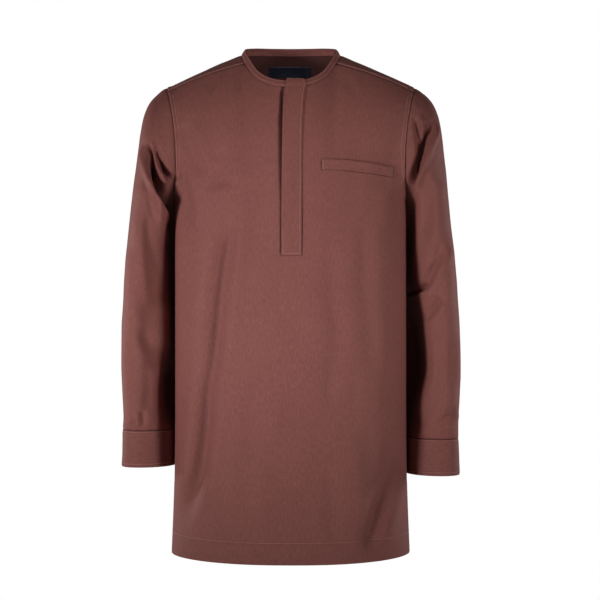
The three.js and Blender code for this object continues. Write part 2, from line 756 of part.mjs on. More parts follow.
// A section's outward direction at an angle, level.
function sleeveOut(row, angle) {
  const step = 0.02;
  const along = sleeveSection(row, angle + step).sub(sleeveSection(row, angle - step));
  const out = vec(along.y, -along.x, 0).normalize();
  const away = sleeveSection(row, angle).sub(sleeveMiddle(row));
  return out.dot(away) < 0 ? out.negate() : out;
}

function cuffPoint(degrees, down, out, drop) {
  const angle = radians(degrees);
  const p = sleeveSection(lastRow, angle);
  p.addScaledVector(sleeveOut(lastRow, angle), out + CUFF.spread * (down / CUFF.deep));
  p.z -= down + drop;
  return p;
}

const onSide = (side, p) => (side > 0 ? p : mirrored(p));

function cuffGrid({ side, drop }) {
  const full = 360 + CUFF.lap;
  const turns = evenly(STEPS.cuffSteps, 0, full);
  const rows = evenly(2, 0, CUFF.deep).map((down) =>
    turns.map((turned) => {
      const lifted = ease((turned - (full - 2 * CUFF.lap)) / CUFF.lap);
      const out = lifted * (CUFF_CLOTH + CUFF.lapGap);
      return onSide(side, cuffPoint(CUFF.lapAt + turned, down, out, drop));
    }),
  );
  const out = turns.map((turned) => sleeveOut(lastRow, radians(CUFF.lapAt + turned)));
  const outs = rows.map(() => out.map((way) => onSide(side, way)));
  return { rows, outs, own: outs, ring: false };
}

// The strip over the slit above the cuff: the sleeve's points, moved out.
function sleevePlacketGrid({ side, drop }) {
  const rows = [];
  const outs = [];
  const { at, wide, long, start, on } = SLEEVE_PLACKET;
  const height = (row) => sleeveSection(row, Math.PI / 2).z;
  const levels = evenly(STEPS.sleeveRings, 0, lastRow).filter(
    (row) => row < lastRow - STRIP_LEVELS.last,
  );
  const top = solve((t) => -height(t), -(height(lastRow) + long), 0, lastRow);
  const bottom = solve((t) => -height(t), -(height(lastRow) + start), 0, lastRow);
  for (const row of [top, ...levels.filter((level) => level > top + STRIP_LEVELS.nearest), bottom]) {
    const turns = evenly(4, -wide / 2, wide / 2).map((across) => {
      const reach = sleeveSection(row, radians(at)).sub(sleeveMiddle(row)).length();
      return radians(at) + across / reach;
    });
    outs.push(turns.map((angle) => onSide(side, sleeveOut(row, angle))));
    rows.push(
      turns.map((angle) => {
        const p = sleeveSection(row, angle);
        p.addScaledVector(sleeveOut(row, angle), on + CLOTH);
        p.z -= drop * (row / lastRow);
        return onSide(side, p);
      }),
    );
  }
  return { rows, outs, ring: false };
}

// Strips that lie on the front. Each is a grid of the front's points, moved out.
const placketRight = column(PLACKET, 'z', 'right');
const placketLeft = column(PLACKET, 'z', 'left');

const placketEndRow = -(PLACKET_END_Z - ARMPIT_Z) / (HEM_Z - ARMPIT_Z);
const placketRows = [placketEndRow, ...frontRows.filter((v) => v > placketEndRow)];

function overPlacketGrid() {
  const rows = [];
  const outs = [];
  for (const v of placketRows) {
    const { z } = frontPoint(0, v);
    const lift = PLACKET_LIFT.high * ease((z - SLIT_END_Z) / PLACKET_LIFT.over);
    const row = [];
    const out = [];
    for (const part of evenly(4, 0, 1)) {
      const x = mix(placketRight(z), placketLeft(z), part);
      const at = frontFrame(x / frontWidth(v), v);
      const away = LAID_ON + BAND_CLOTH + lift * (1 - part) ** PLACKET_LIFT.curl;
      row.push(at.point.addScaledVector(at.out, away));
      out.push(at.out);
    }
    rows.push(row);
    outs.push(out);
  }
  for (const up of [BAND.wide / 2, BAND.wide + PLACKET_OVER_BAND]) {
    const row = [];
    const out = [];
    for (const part of evenly(4, 0, 1)) {
      const foot = neckAt(mix(placketRight(chestTop), placketLeft(chestTop), part));
      const way = vec(0, -BAND.rise, BAND.lean);
      const lift = PLACKET_LIFT.high * (1 - part) ** PLACKET_LIFT.curl;
      const away = LAID_ON + BAND_CLOTH + lift;
      row.push(upBand(foot, up).addScaledVector(way, away));
      out.push(way);
    }
    rows.push(row);
    outs.push(out);
  }
  return { rows, outs, ring: false };
}

function underPlacketGrid() {
  const { right, left } = UNDER_PLACKET;
  const columns = [right, SLIT.from, (SLIT.from + SLIT.to) / 2, SLIT.to, left];
  const levels = [...placketRows.slice(0, -1), UNDER_PLACKET.top];
  const frames = levels.map((v) => columns.map((x) => frontFrame(x / frontWidth(v), v)));
  const rows = frames.map((row) =>
    row.map((at) => at.point.addScaledVector(at.out, -CLOTH - UNDER_PLACKET.behind)),
  );
  return { rows, outs: frames.map((row) => row.map((at) => at.out)), ring: false };
}

function weltGrid() {
  const rows = [];
  const outs = [];
  for (const down of evenly(2, WELT.wide, 0)) {
    const row = [];
    const out = [];
    for (const part of evenly(8, 0, 1)) {
      const z = mix(WELT.inZ, WELT.outZ, part) - down;
      const at = onFront(mix(WELT.inX, WELT.outX, part), z);
      row.push(at.point.addScaledVector(at.out, WELT_ON + CLOTH));
      out.push(at.out);
    }
    rows.push(row);
    outs.push(out);
  }
  return { rows, outs, ring: false };
}

// The label: the yoke's points about the middle of the back, moved in.
function labelGrid() {
  const middle = (yokeGrid.rows.length - 1) / 2;
  const reach = STEPS.backColumns / 2 - 2; // rays to either side that it can lie on
  const ray = (at, part) => {
    const i = Math.floor(at);
    const between = (a, t) => {
      const j = Math.min(a.length - 2, Math.floor(t * (a.length - 1)));
      return a[j].clone().lerp(a[j + 1], t * (a.length - 1) - j);
    };
    const a = between(yokeGrid.rows[i], part);
    const b = between(yokeGrid.rows[i + 1], part);
    return a.lerp(b, at - i);
  };
  const rows = evenly(3, LABEL.bottom, LABEL.top).map((part) =>
    evenly(6, LABEL.rightX, LABEL.leftX).map((x) => {
      const place = solve((t) => -ray(t, part).x, -x, middle - reach, middle + reach);
      return ray(place, part);
    }),
  );
  const grid = gridOf(rows.map((row) => row.map((p) => p.clone())));
  grid.rows.forEach((row, i) =>
    row.forEach((p, j) => {
      row[j] = p.addScaledVector(grid.outs[i][j], -CLOTH - LAID_ON);
    }),
  );
  return grid;
}

function buttonMesh({ side, drop }) {
  const { radius, thick, edge, sides } = BUTTON;
  const profile = [
    [0, 0], [radius - edge, 0], [radius, edge], [radius, thick - edge],
    [radius - edge, thick], [radius - 2 * edge, thick - edge / 2], [0, thick - edge / 2],
  ].map(([r, y]) => new THREE.Vector2(r, y));
  const geometry = new THREE.LatheGeometry(profile, sides);
  const out = CUFF_CLOTH + CUFF.lapGap + SEAM_GAP;
  const place = onSide(side, cuffPoint(BUTTON.at, BUTTON.fromTop, out, drop));
  const way = onSide(side, sleeveOut(lastRow, radians(BUTTON.at)));
  const turn = new THREE.Quaternion().setFromUnitVectors(vec(0, 1, 0), way);
  return { geometry, place, turn };
}

const group = new THREE.Group();
group.name = 'tunic';

function add(name, geometry, colour = CLOTH_COLOUR, roughness = CLOTH_ROUGHNESS) {
  const material = new THREE.MeshStandardMaterial({ color: colour, roughness, metalness: 0 });
  const mesh = new THREE.Mesh(geometry, material);
  mesh.name = name;
  group.add(mesh);
  return mesh;
}

// How far a place round the armhole is under the arm: 0 up to a third of the way round, then 1.
const underarm = (angle) => ease(-1 - 2 * Math.cos(angle));

const sleeveGrids = SLEEVES.map(sleeveGrid);
shareDirections([[frontGrid, backGrid, yokeGrid, bandGrid], sleeveGrids]);

const nearSide = (columns) => (j) => ease((1 - Math.abs(columns[j])) / SIDE_FADE);
const fadeFront = nearSide(columnsFront);
const fadeBack = nearSide(columnsBack);
crease(frontGrid, (p, out, i, j) => foldDepth(BODY_FOLDS, p.x, p.z, 'front') * fadeFront(j));
crease(backGrid, (p, out, i, j) => foldDepth(BODY_FOLDS, p.x, p.z, 'back') * fadeBack(j));
trim(frontGrid, ['start', 'end', 'last']);
trim(backGrid, ['start', 'end', 'last']);
trim(yokeGrid, ['first', 'last', 'start', 'end']);
trim(bandGrid, ['first']);

const slitFirst = columnsFront.findIndex((q) => Math.abs(q - SLIT.from / half(ARMPIT_Z)) < 1e-6);
const inSlit = (i, j) => j === slitFirst && i >= STEPS.lowerRows;
add('front', wall(frontGrid, CLOTH, inSlit));
add('back', wall(backGrid, CLOTH));
add('yoke', wall(yokeGrid, CLOTH));
add('neckband', wall(bandGrid, BAND_CLOTH));
add('placket_over', wall(overPlacketGrid(), BAND_CLOTH));
add('placket_under', wall(underPlacketGrid(), CLOTH));
add('pocket_welt', wall(weltGrid(), CLOTH));
add('label', wall(labelGrid(), LABEL.thick), LABEL_COLOUR);

SLEEVES.forEach((sleeve, n) => {
  const grid = sleeveGrids[n];
  const folds = SLEEVE_FOLDS.filter((fold) => ['both', sleeve.name].includes(fold.sleeve));
  crease(grid, (p, out, i) => {
    const x = Math.abs(p.x);
    const ends = ease(i / SLEEVE_FADE.top) * ease((STEPS.sleeveRings - i) / SLEEVE_FADE.end);
    const front = foldDepth(folds, x, p.z, 'front') * ease(-out.y * SLEEVE_FADE.sides);
    const back = foldDepth(folds, x, p.z, 'back') * ease(out.y * SLEEVE_FADE.sides);
    return (front + back) * ends;
  });
  trim(grid, ['first', 'last'], (k) => UNDERARM_GAP * underarm(armholeAngles[k]));
  add(`sleeve_${sleeve.name}`, wall(grid, CLOTH));

  const cuff = cuffGrid(sleeve);
  trim(cuff, ['first']);
  add(`cuff_${sleeve.name}`, wall(cuff, CUFF_CLOTH));
  add(`sleeve_placket_${sleeve.name}`, wall(sleevePlacketGrid(sleeve), CLOTH));

  const button = buttonMesh(sleeve);
  const mesh = add(`cuff_button_${sleeve.name}`, button.geometry, BUTTON_COLOUR, BUTTON_ROUGHNESS);
  mesh.position.copy(button.place);
  mesh.quaternion.copy(button.turn);
});

export default group;
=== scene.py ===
import bpy
import numpy as np
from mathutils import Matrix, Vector


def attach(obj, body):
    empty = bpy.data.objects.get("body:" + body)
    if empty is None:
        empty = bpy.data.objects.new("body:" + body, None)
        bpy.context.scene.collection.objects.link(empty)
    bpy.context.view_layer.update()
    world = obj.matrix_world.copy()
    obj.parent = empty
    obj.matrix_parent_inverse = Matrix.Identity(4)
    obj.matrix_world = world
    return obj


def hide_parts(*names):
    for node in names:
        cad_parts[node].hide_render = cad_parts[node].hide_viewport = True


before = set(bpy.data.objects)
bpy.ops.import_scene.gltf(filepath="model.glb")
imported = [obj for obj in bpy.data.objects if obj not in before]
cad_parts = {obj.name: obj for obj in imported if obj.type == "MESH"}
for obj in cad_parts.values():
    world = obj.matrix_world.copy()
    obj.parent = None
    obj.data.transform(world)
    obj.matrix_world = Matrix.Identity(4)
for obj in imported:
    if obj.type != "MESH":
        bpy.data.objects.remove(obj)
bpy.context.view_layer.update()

# Front
# The front is one panel of fine brown twill suiting, slit down the middle from the neck for
# the placket. Its hem and side vents are turned under and topstitched. It hangs from the yoke
# in long soft folds, pressed flat along every seam.
MM = 0.001
CLOTH = 1.2          # wall of one layer of suiting
ROUND = 2.4          # exponent of the body's sections, 2 is an ellipse
ARMPIT, HEM = -250.0, -876.0
HEM_RISE = 4.5       # at the side seams
HEM_DEEP = 37.0      # turned under and stitched
VENT_LONG, VENT_IN = 125.0, 10.0
SEAM_WIDE = 7.0      # allowance of an armhole's seam, which doubles the cloth beside it
SLIT_END = -346.0
SLIT = (-14.0, 18.0)
SOFTEN_REACH, SOFTEN_SPREAD = 60.0, 150.0
SOFTEN_WEIGHTS = (0.1, 0.2, 0.4, 0.2, 0.1)
INSIDE = (0, 0, -200)   # a place in the middle of the body, which its cloth faces away from
UP, BACKWARD = np.array([0, 0, 1.0]), np.array([0, 1.0, 0])
LATTICE = 97         # cells each way, after which a field's heights come again
LIP_AT, LIP_HALF = 1.7, 0.9     # a fold's lip, in half widths of the fold


def mix(a, b, t):
    """The value at part t of the way from a to b."""
    return a + (b - a) * t


def ease(t):
    """0 below 0, 1 above 1, and 3t^2 - 2t^3 between."""
    t = np.clip(t, 0, 1)
    return t * t * (3 - 2 * t)


def bell(distance, half):
    """exp(-(distance / half)^2)."""
    return np.exp(-((distance / half) ** 2))


def table(names, rows):
    """A short table as a dictionary of its named columns."""
    return dict(zip(names.split(), np.array(rows, float).T))


def column(rows, key, value):
    """A column of a table as a smooth function of another. It is a cubic between rows, and
    its slope at a row is that of the line between the rows on both sides."""
    order = np.argsort(rows[key])
    k, y = rows[key][order], rows[value][order]
    row = np.arange(k.size)
    before, after = np.maximum(row - 1, 0), np.minimum(row + 1, k.size - 1)
    slope = (y[after] - y[before]) / (k[after] - k[before])

    def at(x):
        i = np.clip(np.searchsorted(k, x) - 1, 0, k.size - 2)
        span = k[i + 1] - k[i]
        t = np.clip((x - k[i]) / span, 0, 1)
        return (y[i] * (2 * t**3 - 3 * t**2 + 1) + y[i + 1] * (3 * t**2 - 2 * t**3)
                + span * (slope[i] * (t**3 - 2 * t**2 + t) + slope[i + 1] * (t**3 - t**2)))
    return at


def curve(points, closed=False):
    """A smooth line through points, read by row number: the centripetal Catmull-Rom curve,
    where the step between two points counts as the fourth root of its squared length."""
    given = np.array(points, float)
    count = len(given)
    if not closed:
        given = np.concatenate([[2 * given[0] - given[1]], given, [2 * given[-1] - given[-2]]])

    def at(row):
        row = np.asarray(row, float)
        i = np.floor(row).astype(int)
        i = i if closed else np.clip(i, 0, count - 2)
        t = (row - i)[..., None]
        a, b, c, d = (given[(i + k - 1) % count if closed else i + k] for k in range(4))
        before, here, after = (np.maximum(((q - p) ** 2).sum(-1, keepdims=True) ** 0.25, 1e-4)
                               for p, q in ((a, b), (b, c), (c, d)))
        leave = ((b - a) / before - (c - a) / (before + here) + (c - b) / here) * here
        arrive = ((c - b) / here - (d - b) / (here + after) + (d - c) / after) * here
        return (b + leave * t + (3 * (c - b) - 2 * leave - arrive) * t**2
                + (2 * (b - c) + leave + arrive) * t**3)
    return at


def field(u, v, cell_u, cell_v, seed):
    """Soft unevenness from -1 to 1: seeded heights on a lattice of cells, eased between."""
    lattice = np.random.default_rng(seed).uniform(-1, 1, (LATTICE, LATTICE))
    i, j = np.floor(u / cell_u).astype(int), np.floor(v / cell_v).astype(int)
    s, t = ease(u / cell_u - i), ease(v / cell_v - j)
    a, b, c, d = (lattice[(i + di) % LATTICE, (j + dj) % LATTICE]
                  for di, dj in ((0, 0), (1, 0), (0, 1), (1, 1)))
    return mix(mix(a, b, s), mix(c, d, s), t)


def folds(rows, across, along):
    """The relief of a table of folds at places on the cloth. Along a fold's smooth path it is
    the depth times a bell of the distance over the half width, with a lip of the opposite
    sense beside it, and it fades at both ends of the path."""
    total = np.zeros(np.shape(across))
    place = np.stack([across, along], -1)[..., None, :]
    for path, half, deep, lip in rows:
        line = curve(path)(np.linspace(0, len(path) - 1, 8 * len(path)))
        start, way = line[:-1], np.diff(line, axis=0)
        t = np.clip(((place - start) * way).sum(-1) / (way**2).sum(-1), 0, 1)
        away = place - start - t[..., None] * way
        near = np.argmin((away**2).sum(-1), -1)[..., None]
        t = np.take_along_axis(t, near, -1)[..., 0]
        away = np.take_along_axis(away, near[..., None], -2)[..., 0, :]
        way = way[near[..., 0]]
        side = np.sign(way[..., 0] * away[..., 1] - way[..., 1] * away[..., 0])
        distance = side * np.hypot(away[..., 0], away[..., 1]) / half
        part = (near[..., 0] + t) / len(start)
        fade = ease(4 * part + 0.1) * ease(4 * (1 - part) + 0.1)
        total += deep * fade * (bell(distance, 1) - lip * bell(distance - LIP_AT, LIP_HALF))
    return total


def between_rows(values, i):
    """The rows of a table of values at row i, in between too."""
    a = np.clip(np.floor(i).astype(int), 0, len(values) - 2)
    return mix(values[a], values[a + 1], (i - a)[..., None])


def place_in(rows, value):
    """Where a value stands in each row of rising values, counted in columns."""
    j = np.clip((rows < value[..., None]).sum(-1) - 1, 0, rows.shape[-1] - 2)
    low, high = (np.take_along_axis(rows, (j + k)[..., None], -1)[..., 0] for k in (0, 1))
    return j + np.clip((value - low) / (high - low), 0, 1)


class Cloth:
    """A piece of cloth: rows of points in millimetres, the outward direction at each, and the
    distances u across and v along the cloth. A ring's rows close on themselves."""

    def __init__(self, points, ring=False, middle=INSIDE):
        self.points, self.ring = points, ring
        self.settle(middle)

    def settle(self, middle=None):
        """Works out the directions: across times along, turned away from the middle. The
        middle of a ring's row is the mean of its points."""
        p = self.points
        if self.ring:
            across = np.roll(p, -1, 1) - np.roll(p, 1, 1)
        else:
            across = np.gradient(p, axis=1)
        out = np.cross(across, np.gradient(p, axis=0))
        out /= np.maximum(np.linalg.norm(out, axis=-1, keepdims=True), 1e-9)
        if middle is not None:
            centre = p.mean(1, keepdims=True) if self.ring else np.array(middle, float)
            self.turned = ((p - centre) * out).sum() < 0
        self.out = -out if self.turned else out
        closed = np.concatenate([p, p[:, :1]], 1) if self.ring else p
        wide = np.linalg.norm(np.diff(closed, axis=1), axis=-1)
        high = np.linalg.norm(np.diff(p, axis=0), axis=-1)
        self.u = np.pad(np.cumsum(wide, 1), ((0, 0), (1, 0)))
        self.v = np.pad(np.cumsum(high, 0), ((1, 0), (0, 0)))

    def centre_u(self, j):
        """Measures u from column j, so that the warp runs straight down it."""
        self.u = self.u - self.u[:, j:j + 1]

    def move(self, points):
        """Takes new points and works out the directions again. The distances stay."""
        keep = self.u, self.v
        self.points = points
        self.settle()
        self.u, self.v = keep

    def relief(self, depth):
        """Moves the points out by depth."""
        self.move(self.points + self.out * depth[..., None])

    def at(self, i, j):
        """Point and direction at row i and column j, in between too: the mean of the four
        corners of the cell, each weighed by its nearness."""
        rows, columns = self.points.shape[:2]
        i, j = np.broadcast_arrays(np.clip(i, 0, rows - 1 - 1e-6), np.asarray(j, float))
        j = j % columns if self.ring else np.clip(j, 0, columns - 1 - 1e-6)
        a, b = np.floor(i).astype(int), np.floor(j).astype(int)
        s, t = (i - a)[..., None], (j - b)[..., None]
        c = (b + 1) % columns
        point, out = (mix(mix(x[a, b], x[a, c], t), mix(x[a + 1, b], x[a + 1, c], t), s)
                      for x in (self.points, self.out))
        return point, out / np.linalg.norm(out, axis=-1, keepdims=True)

    def where_u(self, i, u):
        """Column at distance u across, at each row i."""
        return place_in(between_rows(self.u, np.asarray(i, float)), np.asarray(u, float))

    def where_v(self, j, v):
        """Row at distance v along, at each column j."""
        return place_in(between_rows(self.v.T, np.asarray(j, float)), np.asarray(v, float))

    def make(self, name, finish, thick=CLOTH, cut=None, inside=None):
        """The mesh: a face for each cell that isn't cut out, a UV map in metres, smooth, and
        given its thickness on the inside, where it may have a finish of its own, such as the
        darker copy of the twill that paints shade."""
        rows, columns = self.points.shape[:2]
        i, j = np.meshgrid(np.arange(rows - 1), np.arange(columns - 1 + self.ring), indexing="ij")
        if cut is not None:
            i, j = i[~cut], j[~cut]
        i, j = i.ravel(), j.ravel()
        corners = [(i, j), (i, j + 1), (i + 1, j + 1), (i + 1, j)]
        if self.turned:
            corners.reverse()
        faces = np.stack([a * columns + b % columns for a, b in corners], -1)
        wide = columns + self.ring
        wrapped = np.stack([a * wide + b for a, b in corners], -1)
        v = np.concatenate([self.v, self.v[:, :1]], 1) if self.ring else self.v
        uv = np.stack([self.u, v], -1).reshape(-1, 2)[wrapped.ravel()] * MM
        piece = new_piece(name, self.points.reshape(-1, 3), faces, finish, uv, thick)
        if inside is not None:
            piece.data.materials.append(inside)
            piece.modifiers["wall"].material_offset = 1
        return piece


def new_piece(name, points, faces, finish, uv=None, thick=0.0):
    """An object at the origin whose mesh has its place in the frame, from millimetres. It
    rides on the garment's one body."""
    used, renumbered = np.unique(faces, return_inverse=True)
    mesh = bpy.data.meshes.new(name)
    mesh.from_pydata(points[used] * MM, [], renumbered.reshape(faces.shape))
    if uv is not None:
        mesh.uv_layers.new(name="cloth").data.foreach_set("uv", uv.ravel())
    mesh.polygons.foreach_set("use_smooth", np.ones(len(mesh.polygons), bool))
    mesh.materials.append(finish)
    piece = bpy.data.objects.new(name, mesh)
    bpy.context.scene.collection.objects.link(piece)
    if thick:
        wall = piece.modifiers.new("wall", "SOLIDIFY")
        wall.thickness, wall.offset, wall.use_even_offset = thick * MM, -1.0, False
    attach(piece, "root")
    return piece


class Socket:
    """A value in a finish. The operators add Math nodes, in their reflected forms too."""

    def __init__(self, finish, socket):
        self.finish, self.socket = finish, socket

    def maths(self, operation, *values):
        return self.finish.node("ShaderNodeMath", {"operation": operation},
                                dict(enumerate(values)))

    def __add__(self, other):
        return self.maths("ADD", self, other)

    def __radd__(self, other):
        return self.maths("ADD", other, self)

    def __sub__(self, other):
        return self.maths("SUBTRACT", self, other)

    def __rsub__(self, other):
        return self.maths("SUBTRACT", other, self)

    def __mul__(self, other):
        return self.maths("MULTIPLY", self, other)

    def __rmul__(self, other):
        return self.maths("MULTIPLY", other, self)

    def wave(self, length):
        """Goes from 0 to 1 and back once in each length: half of 1 plus the sine."""
        return 0.5 + 0.5 * self.maths("SINE", self * (2 * np.pi / length))


class Finish:
    """A material. node() adds one node: its type, its settings, then its sockets."""

    def __init__(self, name, **constants):
        self.material = bpy.data.materials.new(name)
        self.material.use_nodes = True
        self.tree = self.material.node_tree
        self.shader = self.tree.nodes["Principled BSDF"]
        self.join(self.shader, {key.replace("_", " "): v for key, v in constants.items()})

    def join(self, node, sockets):
        for key, value in sockets.items():
            if isinstance(value, Socket):
                self.tree.links.new(value.socket, node.inputs[key])
            else:
                node.inputs[key].default_value = value

    def node(self, kind, settings, sockets, output=0):
        made = self.tree.nodes.new(kind)
        for key, value in settings.items():
            setattr(made, key, value)
        self.join(made, sockets)
        return Socket(self, made.outputs[output])

    def surface(self, **sockets):
        self.join(self.shader, {key.replace("_", " "): v for key, v in sockets.items()})
        return self.material

    def across_along(self):
        """The distances across and along the piece, in metres, from its UV map."""
        uv = self.node("ShaderNodeUVMap", {"uv_map": "cloth"}, {})
        return (self.node("ShaderNodeSeparateXYZ", {}, {0: uv}, 0),
                self.node("ShaderNodeSeparateXYZ", {}, {0: uv}, 1))

    def streaks(self, across, along, wide, long, detail=2.0):
        """Cloudy streaks, wide by long in metres."""
        place = self.node("ShaderNodeCombineXYZ", {},
                          {0: across * (1 / wide), 1: along * (1 / long)})
        return self.node("ShaderNodeTexNoise", {"noise_dimensions": "2D"},
                         {"Vector": place, "Scale": 1.0, "Detail": detail, "Roughness": 0.55})

    def blend(self, dark, light, part):
        """A colour between two."""
        return self.node("ShaderNodeMix", {"data_type": "RGBA"},
                         {0: part, 6: (*dark, 1), 7: (*light, 1)}, 2)

    def bump(self, height, distance, strength=1.0):
        return self.node("ShaderNodeBump", {},
                         {"Height": height, "Distance": distance, "Strength": strength})


# Widths and lengths in metres of what the twill shows: thin and thick threads, and clouds
SLUB, RIB, CLOUD = (0.0014, 0.006), (0.0030, 0.011), (0.05, 0.07)
THREAD_STEP, WALE_STEP, WALE_SLANT = 0.0008, 0.0017, 0.55


def suiting(name, dark, light, warp_upright=True):
    """Fine twill with a faint upright rib: slubs 1 mm and 2 mm wide run along the warp, and a
    slanting wale crosses the warp threads. Their sum moves the colour and the bump."""
    finish = Finish(name, Sheen_Weight=0.10, Sheen_Roughness=0.45, Specular_IOR_Level=0.22,
                    Sheen_Tint=(0.62, 0.36, 0.33, 1))
    across, along = finish.across_along()
    if not warp_upright:
        across, along = along, across
    slub, rib, cloud = (finish.streaks(across, along, *size) for size in (SLUB, RIB, CLOUD))
    thread = across.wave(THREAD_STEP)
    wale = (across + along * WALE_SLANT).wave(WALE_STEP)
    tone = slub * 0.42 + rib * 0.34 + cloud * 0.10 + wale * 0.09 + thread * 0.05
    height = slub * 0.5 + rib * 0.45 + wale * 0.35 + thread * 0.25
    return finish.surface(Base_Color=finish.blend(dark, light, tone),
                          Roughness=0.66 + 0.18 * slub,
                          Normal=finish.bump(height, 0.00022, 0.7))


DARK, LIGHT = (0.080, 0.0252, 0.0212), (0.308, 0.1045, 0.0885)
# The inside's twill is the same cloth made darker: painted shade for the dim inside of the neck
INSIDE_SHADE_DARK, INSIDE_SHADE_LIGHT = (0.045, 0.0145, 0.0125), (0.120, 0.042, 0.036)
cloth_finish = suiting("suiting", DARK, LIGHT)
cross_finish = suiting("suiting_crossways", DARK, LIGHT, warp_upright=False)
painted_shade_inside_finish = suiting("suiting_inside_painted_shade", INSIDE_SHADE_DARK, INSIDE_SHADE_LIGHT, warp_upright=False)

# The body's sections by height: half its width, and its depths before and behind the middle
BODY = table("z half front back", [
    (-250, 206, 118, 112),
    (-330, 205.5, 120, 109),
    (-430, 205, 122, 107),
    (-530, 205, 123, 109),
    (-630, 205, 125, 113),
    (-735, 206, 127.5, 117),
    (-800, 208, 129.5, 119.5),
    (-876, 211, 131.5, 122)])
# How far forward the middle of the chest lies, by height
CHEST = table("z y", [(-250, -118), (-200, -116.5), (-150, -111.5), (-100, -99), (-57, -80)])
# Round the left armhole: from the armpit up the front, over the shoulder and down the back
ARMHOLE = [
    (206, 0, -250), (203, -27, -244), (200.5, -50, -227), (199, -66, -200), (199, -74, -168),
    (201.5, -72, -137), (205.5, -65, -108), (211, -50, -80), (216.5, -29, -60), (219, -10, -51),
    (219, 10, -50), (218, 30, -56), (214.5, 49, -72), (209.5, 64, -94), (205, 76, -124),
    (202, 82, -156), (201, 80, -188), (201.5, 68, -216), (203, 48, -238), (204.5, 25, -248)]
FRONT_CORNER, BACK_CORNER = 8, 13     # rows of the armhole where the yoke's seams end
# The left half of the neckline, from the middle of the front to the middle of the back
HALF_NECK = [
    (0, -80, -57), (22, -78, -55.5), (42, -70, -50), (60, -55, -38.5), (73, -36, -22),
    (81, -20, -8), (88, 5, 8), (86, 28, 14), (68, 47, 18), (36, 58, 19), (0, 61, 19)]
YOKE_CORNER = 5                        # row of the neckline where the yoke's front seam starts
# The yoke's front seam, from the neckline to the armhole
SHOULDER_SEAM = [(81, -20, -8), (105, -29, -16), (137, -33, -26.5), (175, -34, -41),
                 (216.5, -29, -60)]

half_width, front_depth, back_depth = (column(BODY, "z", k) for k in ("half", "front", "back"))
chest_y = column(CHEST, "z", "y")
armhole = curve(ARMHOLE, closed=True)
neckline = curve(HALF_NECK + [(-x, y, z) for x, y, z in HALF_NECK[-2:0:-1]], closed=True)
seam_line = curve(SHOULDER_SEAM)
READ = np.linspace(0, 1, 4001)        # where a line is read to find its place over an x


def mirrored(points, where=True):
    """The points with x turned round, all of them or where it says so."""
    return points * np.where(np.asarray(where)[..., None], (-1, 1, 1), (1, 1, 1))


def over_x(line, last, x):
    """The point of a line over a distance x to either side, the line's x rising with row."""
    row = np.interp(np.abs(x), line(READ * last)[:, 0], READ * last)
    return mirrored(line(row), x < 0)


def front_top(q):
    """The front's upper edge: the neckline out to its corner, then the shoulder seam."""
    x = q * ARMHOLE[FRONT_CORNER][0]
    over_neck = np.abs(x) <= HALF_NECK[YOKE_CORNER][0]
    return np.where(over_neck[..., None], over_x(neckline, YOKE_CORNER, x),
                    over_x(seam_line, len(SHOULDER_SEAM) - 1, x))


def rounded(q, power=ROUND):
    """How far round its section a column stands: (1 - |q|^power)^(1/power)."""
    return np.maximum(1 - np.abs(q) ** power, 0) ** (1 / power)


def lower_body(q, z, side):
    """The body under the armpits: across by q times the half width, forward or back by the
    depth times the section's roundness. Rows rise by the square of q towards the side seams,
    with the cube of how far down they hang."""
    depth = front_depth(z) if side < 0 else back_depth(z)
    hang = np.clip((ARMPIT - z) / (ARMPIT - HEM), 0, None)
    return np.stack([q * half_width(z), side * depth * rounded(q),
                     z + HEM_RISE * q * q * hang**3], -1)


def upper_body(q, edge, y, z, flat):
    """The body over the armpits: a row goes from the armhole's point to the middle by the
    section's roundness, and by 1 - q^2 the flatter it gets."""
    over = mix(rounded(q), 1 - q * q, flat)
    return np.stack([q * edge[..., 0], mix(edge[..., 1], y, over),
                     mix(edge[..., 2], z, 1 - q * q)], -1)


def upper_front(q, t):
    """The front from the armpits, t 0, to its upper edge, t 1, which pulls the rows up."""
    def row(t):
        z = mix(ARMPIT, CHEST["z"][-1], t)
        return upper_body(q, armhole(t * FRONT_CORNER), chest_y(z), z, ease(2 * t))
    pull = front_top(q) - row(np.ones_like(t))
    return row(t) + pull * np.stack([t, t**2.5, t**1.3], -1)


def panel(q, s, side, upper, up):
    """A panel s millimetres up from the armpits' level, or down under zero. Across that level
    it is a weighted mean of the rows near it, so that the side runs smoothly into the chest."""
    def row(s):
        above, below = np.clip(s / up, 0, 1), ARMPIT + np.minimum(s, 0)
        return np.where((s > 0)[..., None], upper(q, above), lower_body(q, below, side))
    reach = SOFTEN_REACH * (1 - ease(np.abs(s) / SOFTEN_SPREAD)) * (1 - np.abs(q) ** 8)
    return sum(weight * row(s + t * reach)
               for weight, t in zip(SOFTEN_WEIGHTS, np.linspace(-1, 1, len(SOFTEN_WEIGHTS))))


def closer_at_ends(count, crowd):
    """Even steps from -1 to 1, drawn closer at both ends and in the middle."""
    t = np.linspace(-1, 1, count)
    return t - crowd * np.sin(2 * np.pi * t) / (2 * np.pi)


def columns_of(count, crowd=0.45):
    """Columns that are even round the body's section: sine of the angle to 2/ROUND."""
    sine = np.sin(np.pi / 2 * closer_at_ends(count, crowd))
    return np.sign(sine) * np.abs(sine) ** (2 / ROUND)


FRONT_UP = CHEST["z"][-1] - ARMPIT
ARMPIT_HALF = BODY["half"][0]
front_q = columns_of(161)
for edge in SLIT:                     # a column is moved to each edge of the slit
    front_q[np.argmin(np.abs(front_q - edge / ARMPIT_HALF))] = edge / ARMPIT_HALF
front_s = np.concatenate([np.linspace(HEM - ARMPIT, 0, 151)[:-1], np.linspace(0, FRONT_UP, 58)])
FRONT_MIDDLE = int(np.argmin(np.abs(front_q)))
q, s = np.meshgrid(front_q, front_s)
front = Cloth(panel(q, s, -1, upper_front, FRONT_UP))
front.centre_u(FRONT_MIDDLE)
across, along = front.points[..., 0], front.points[..., 2]

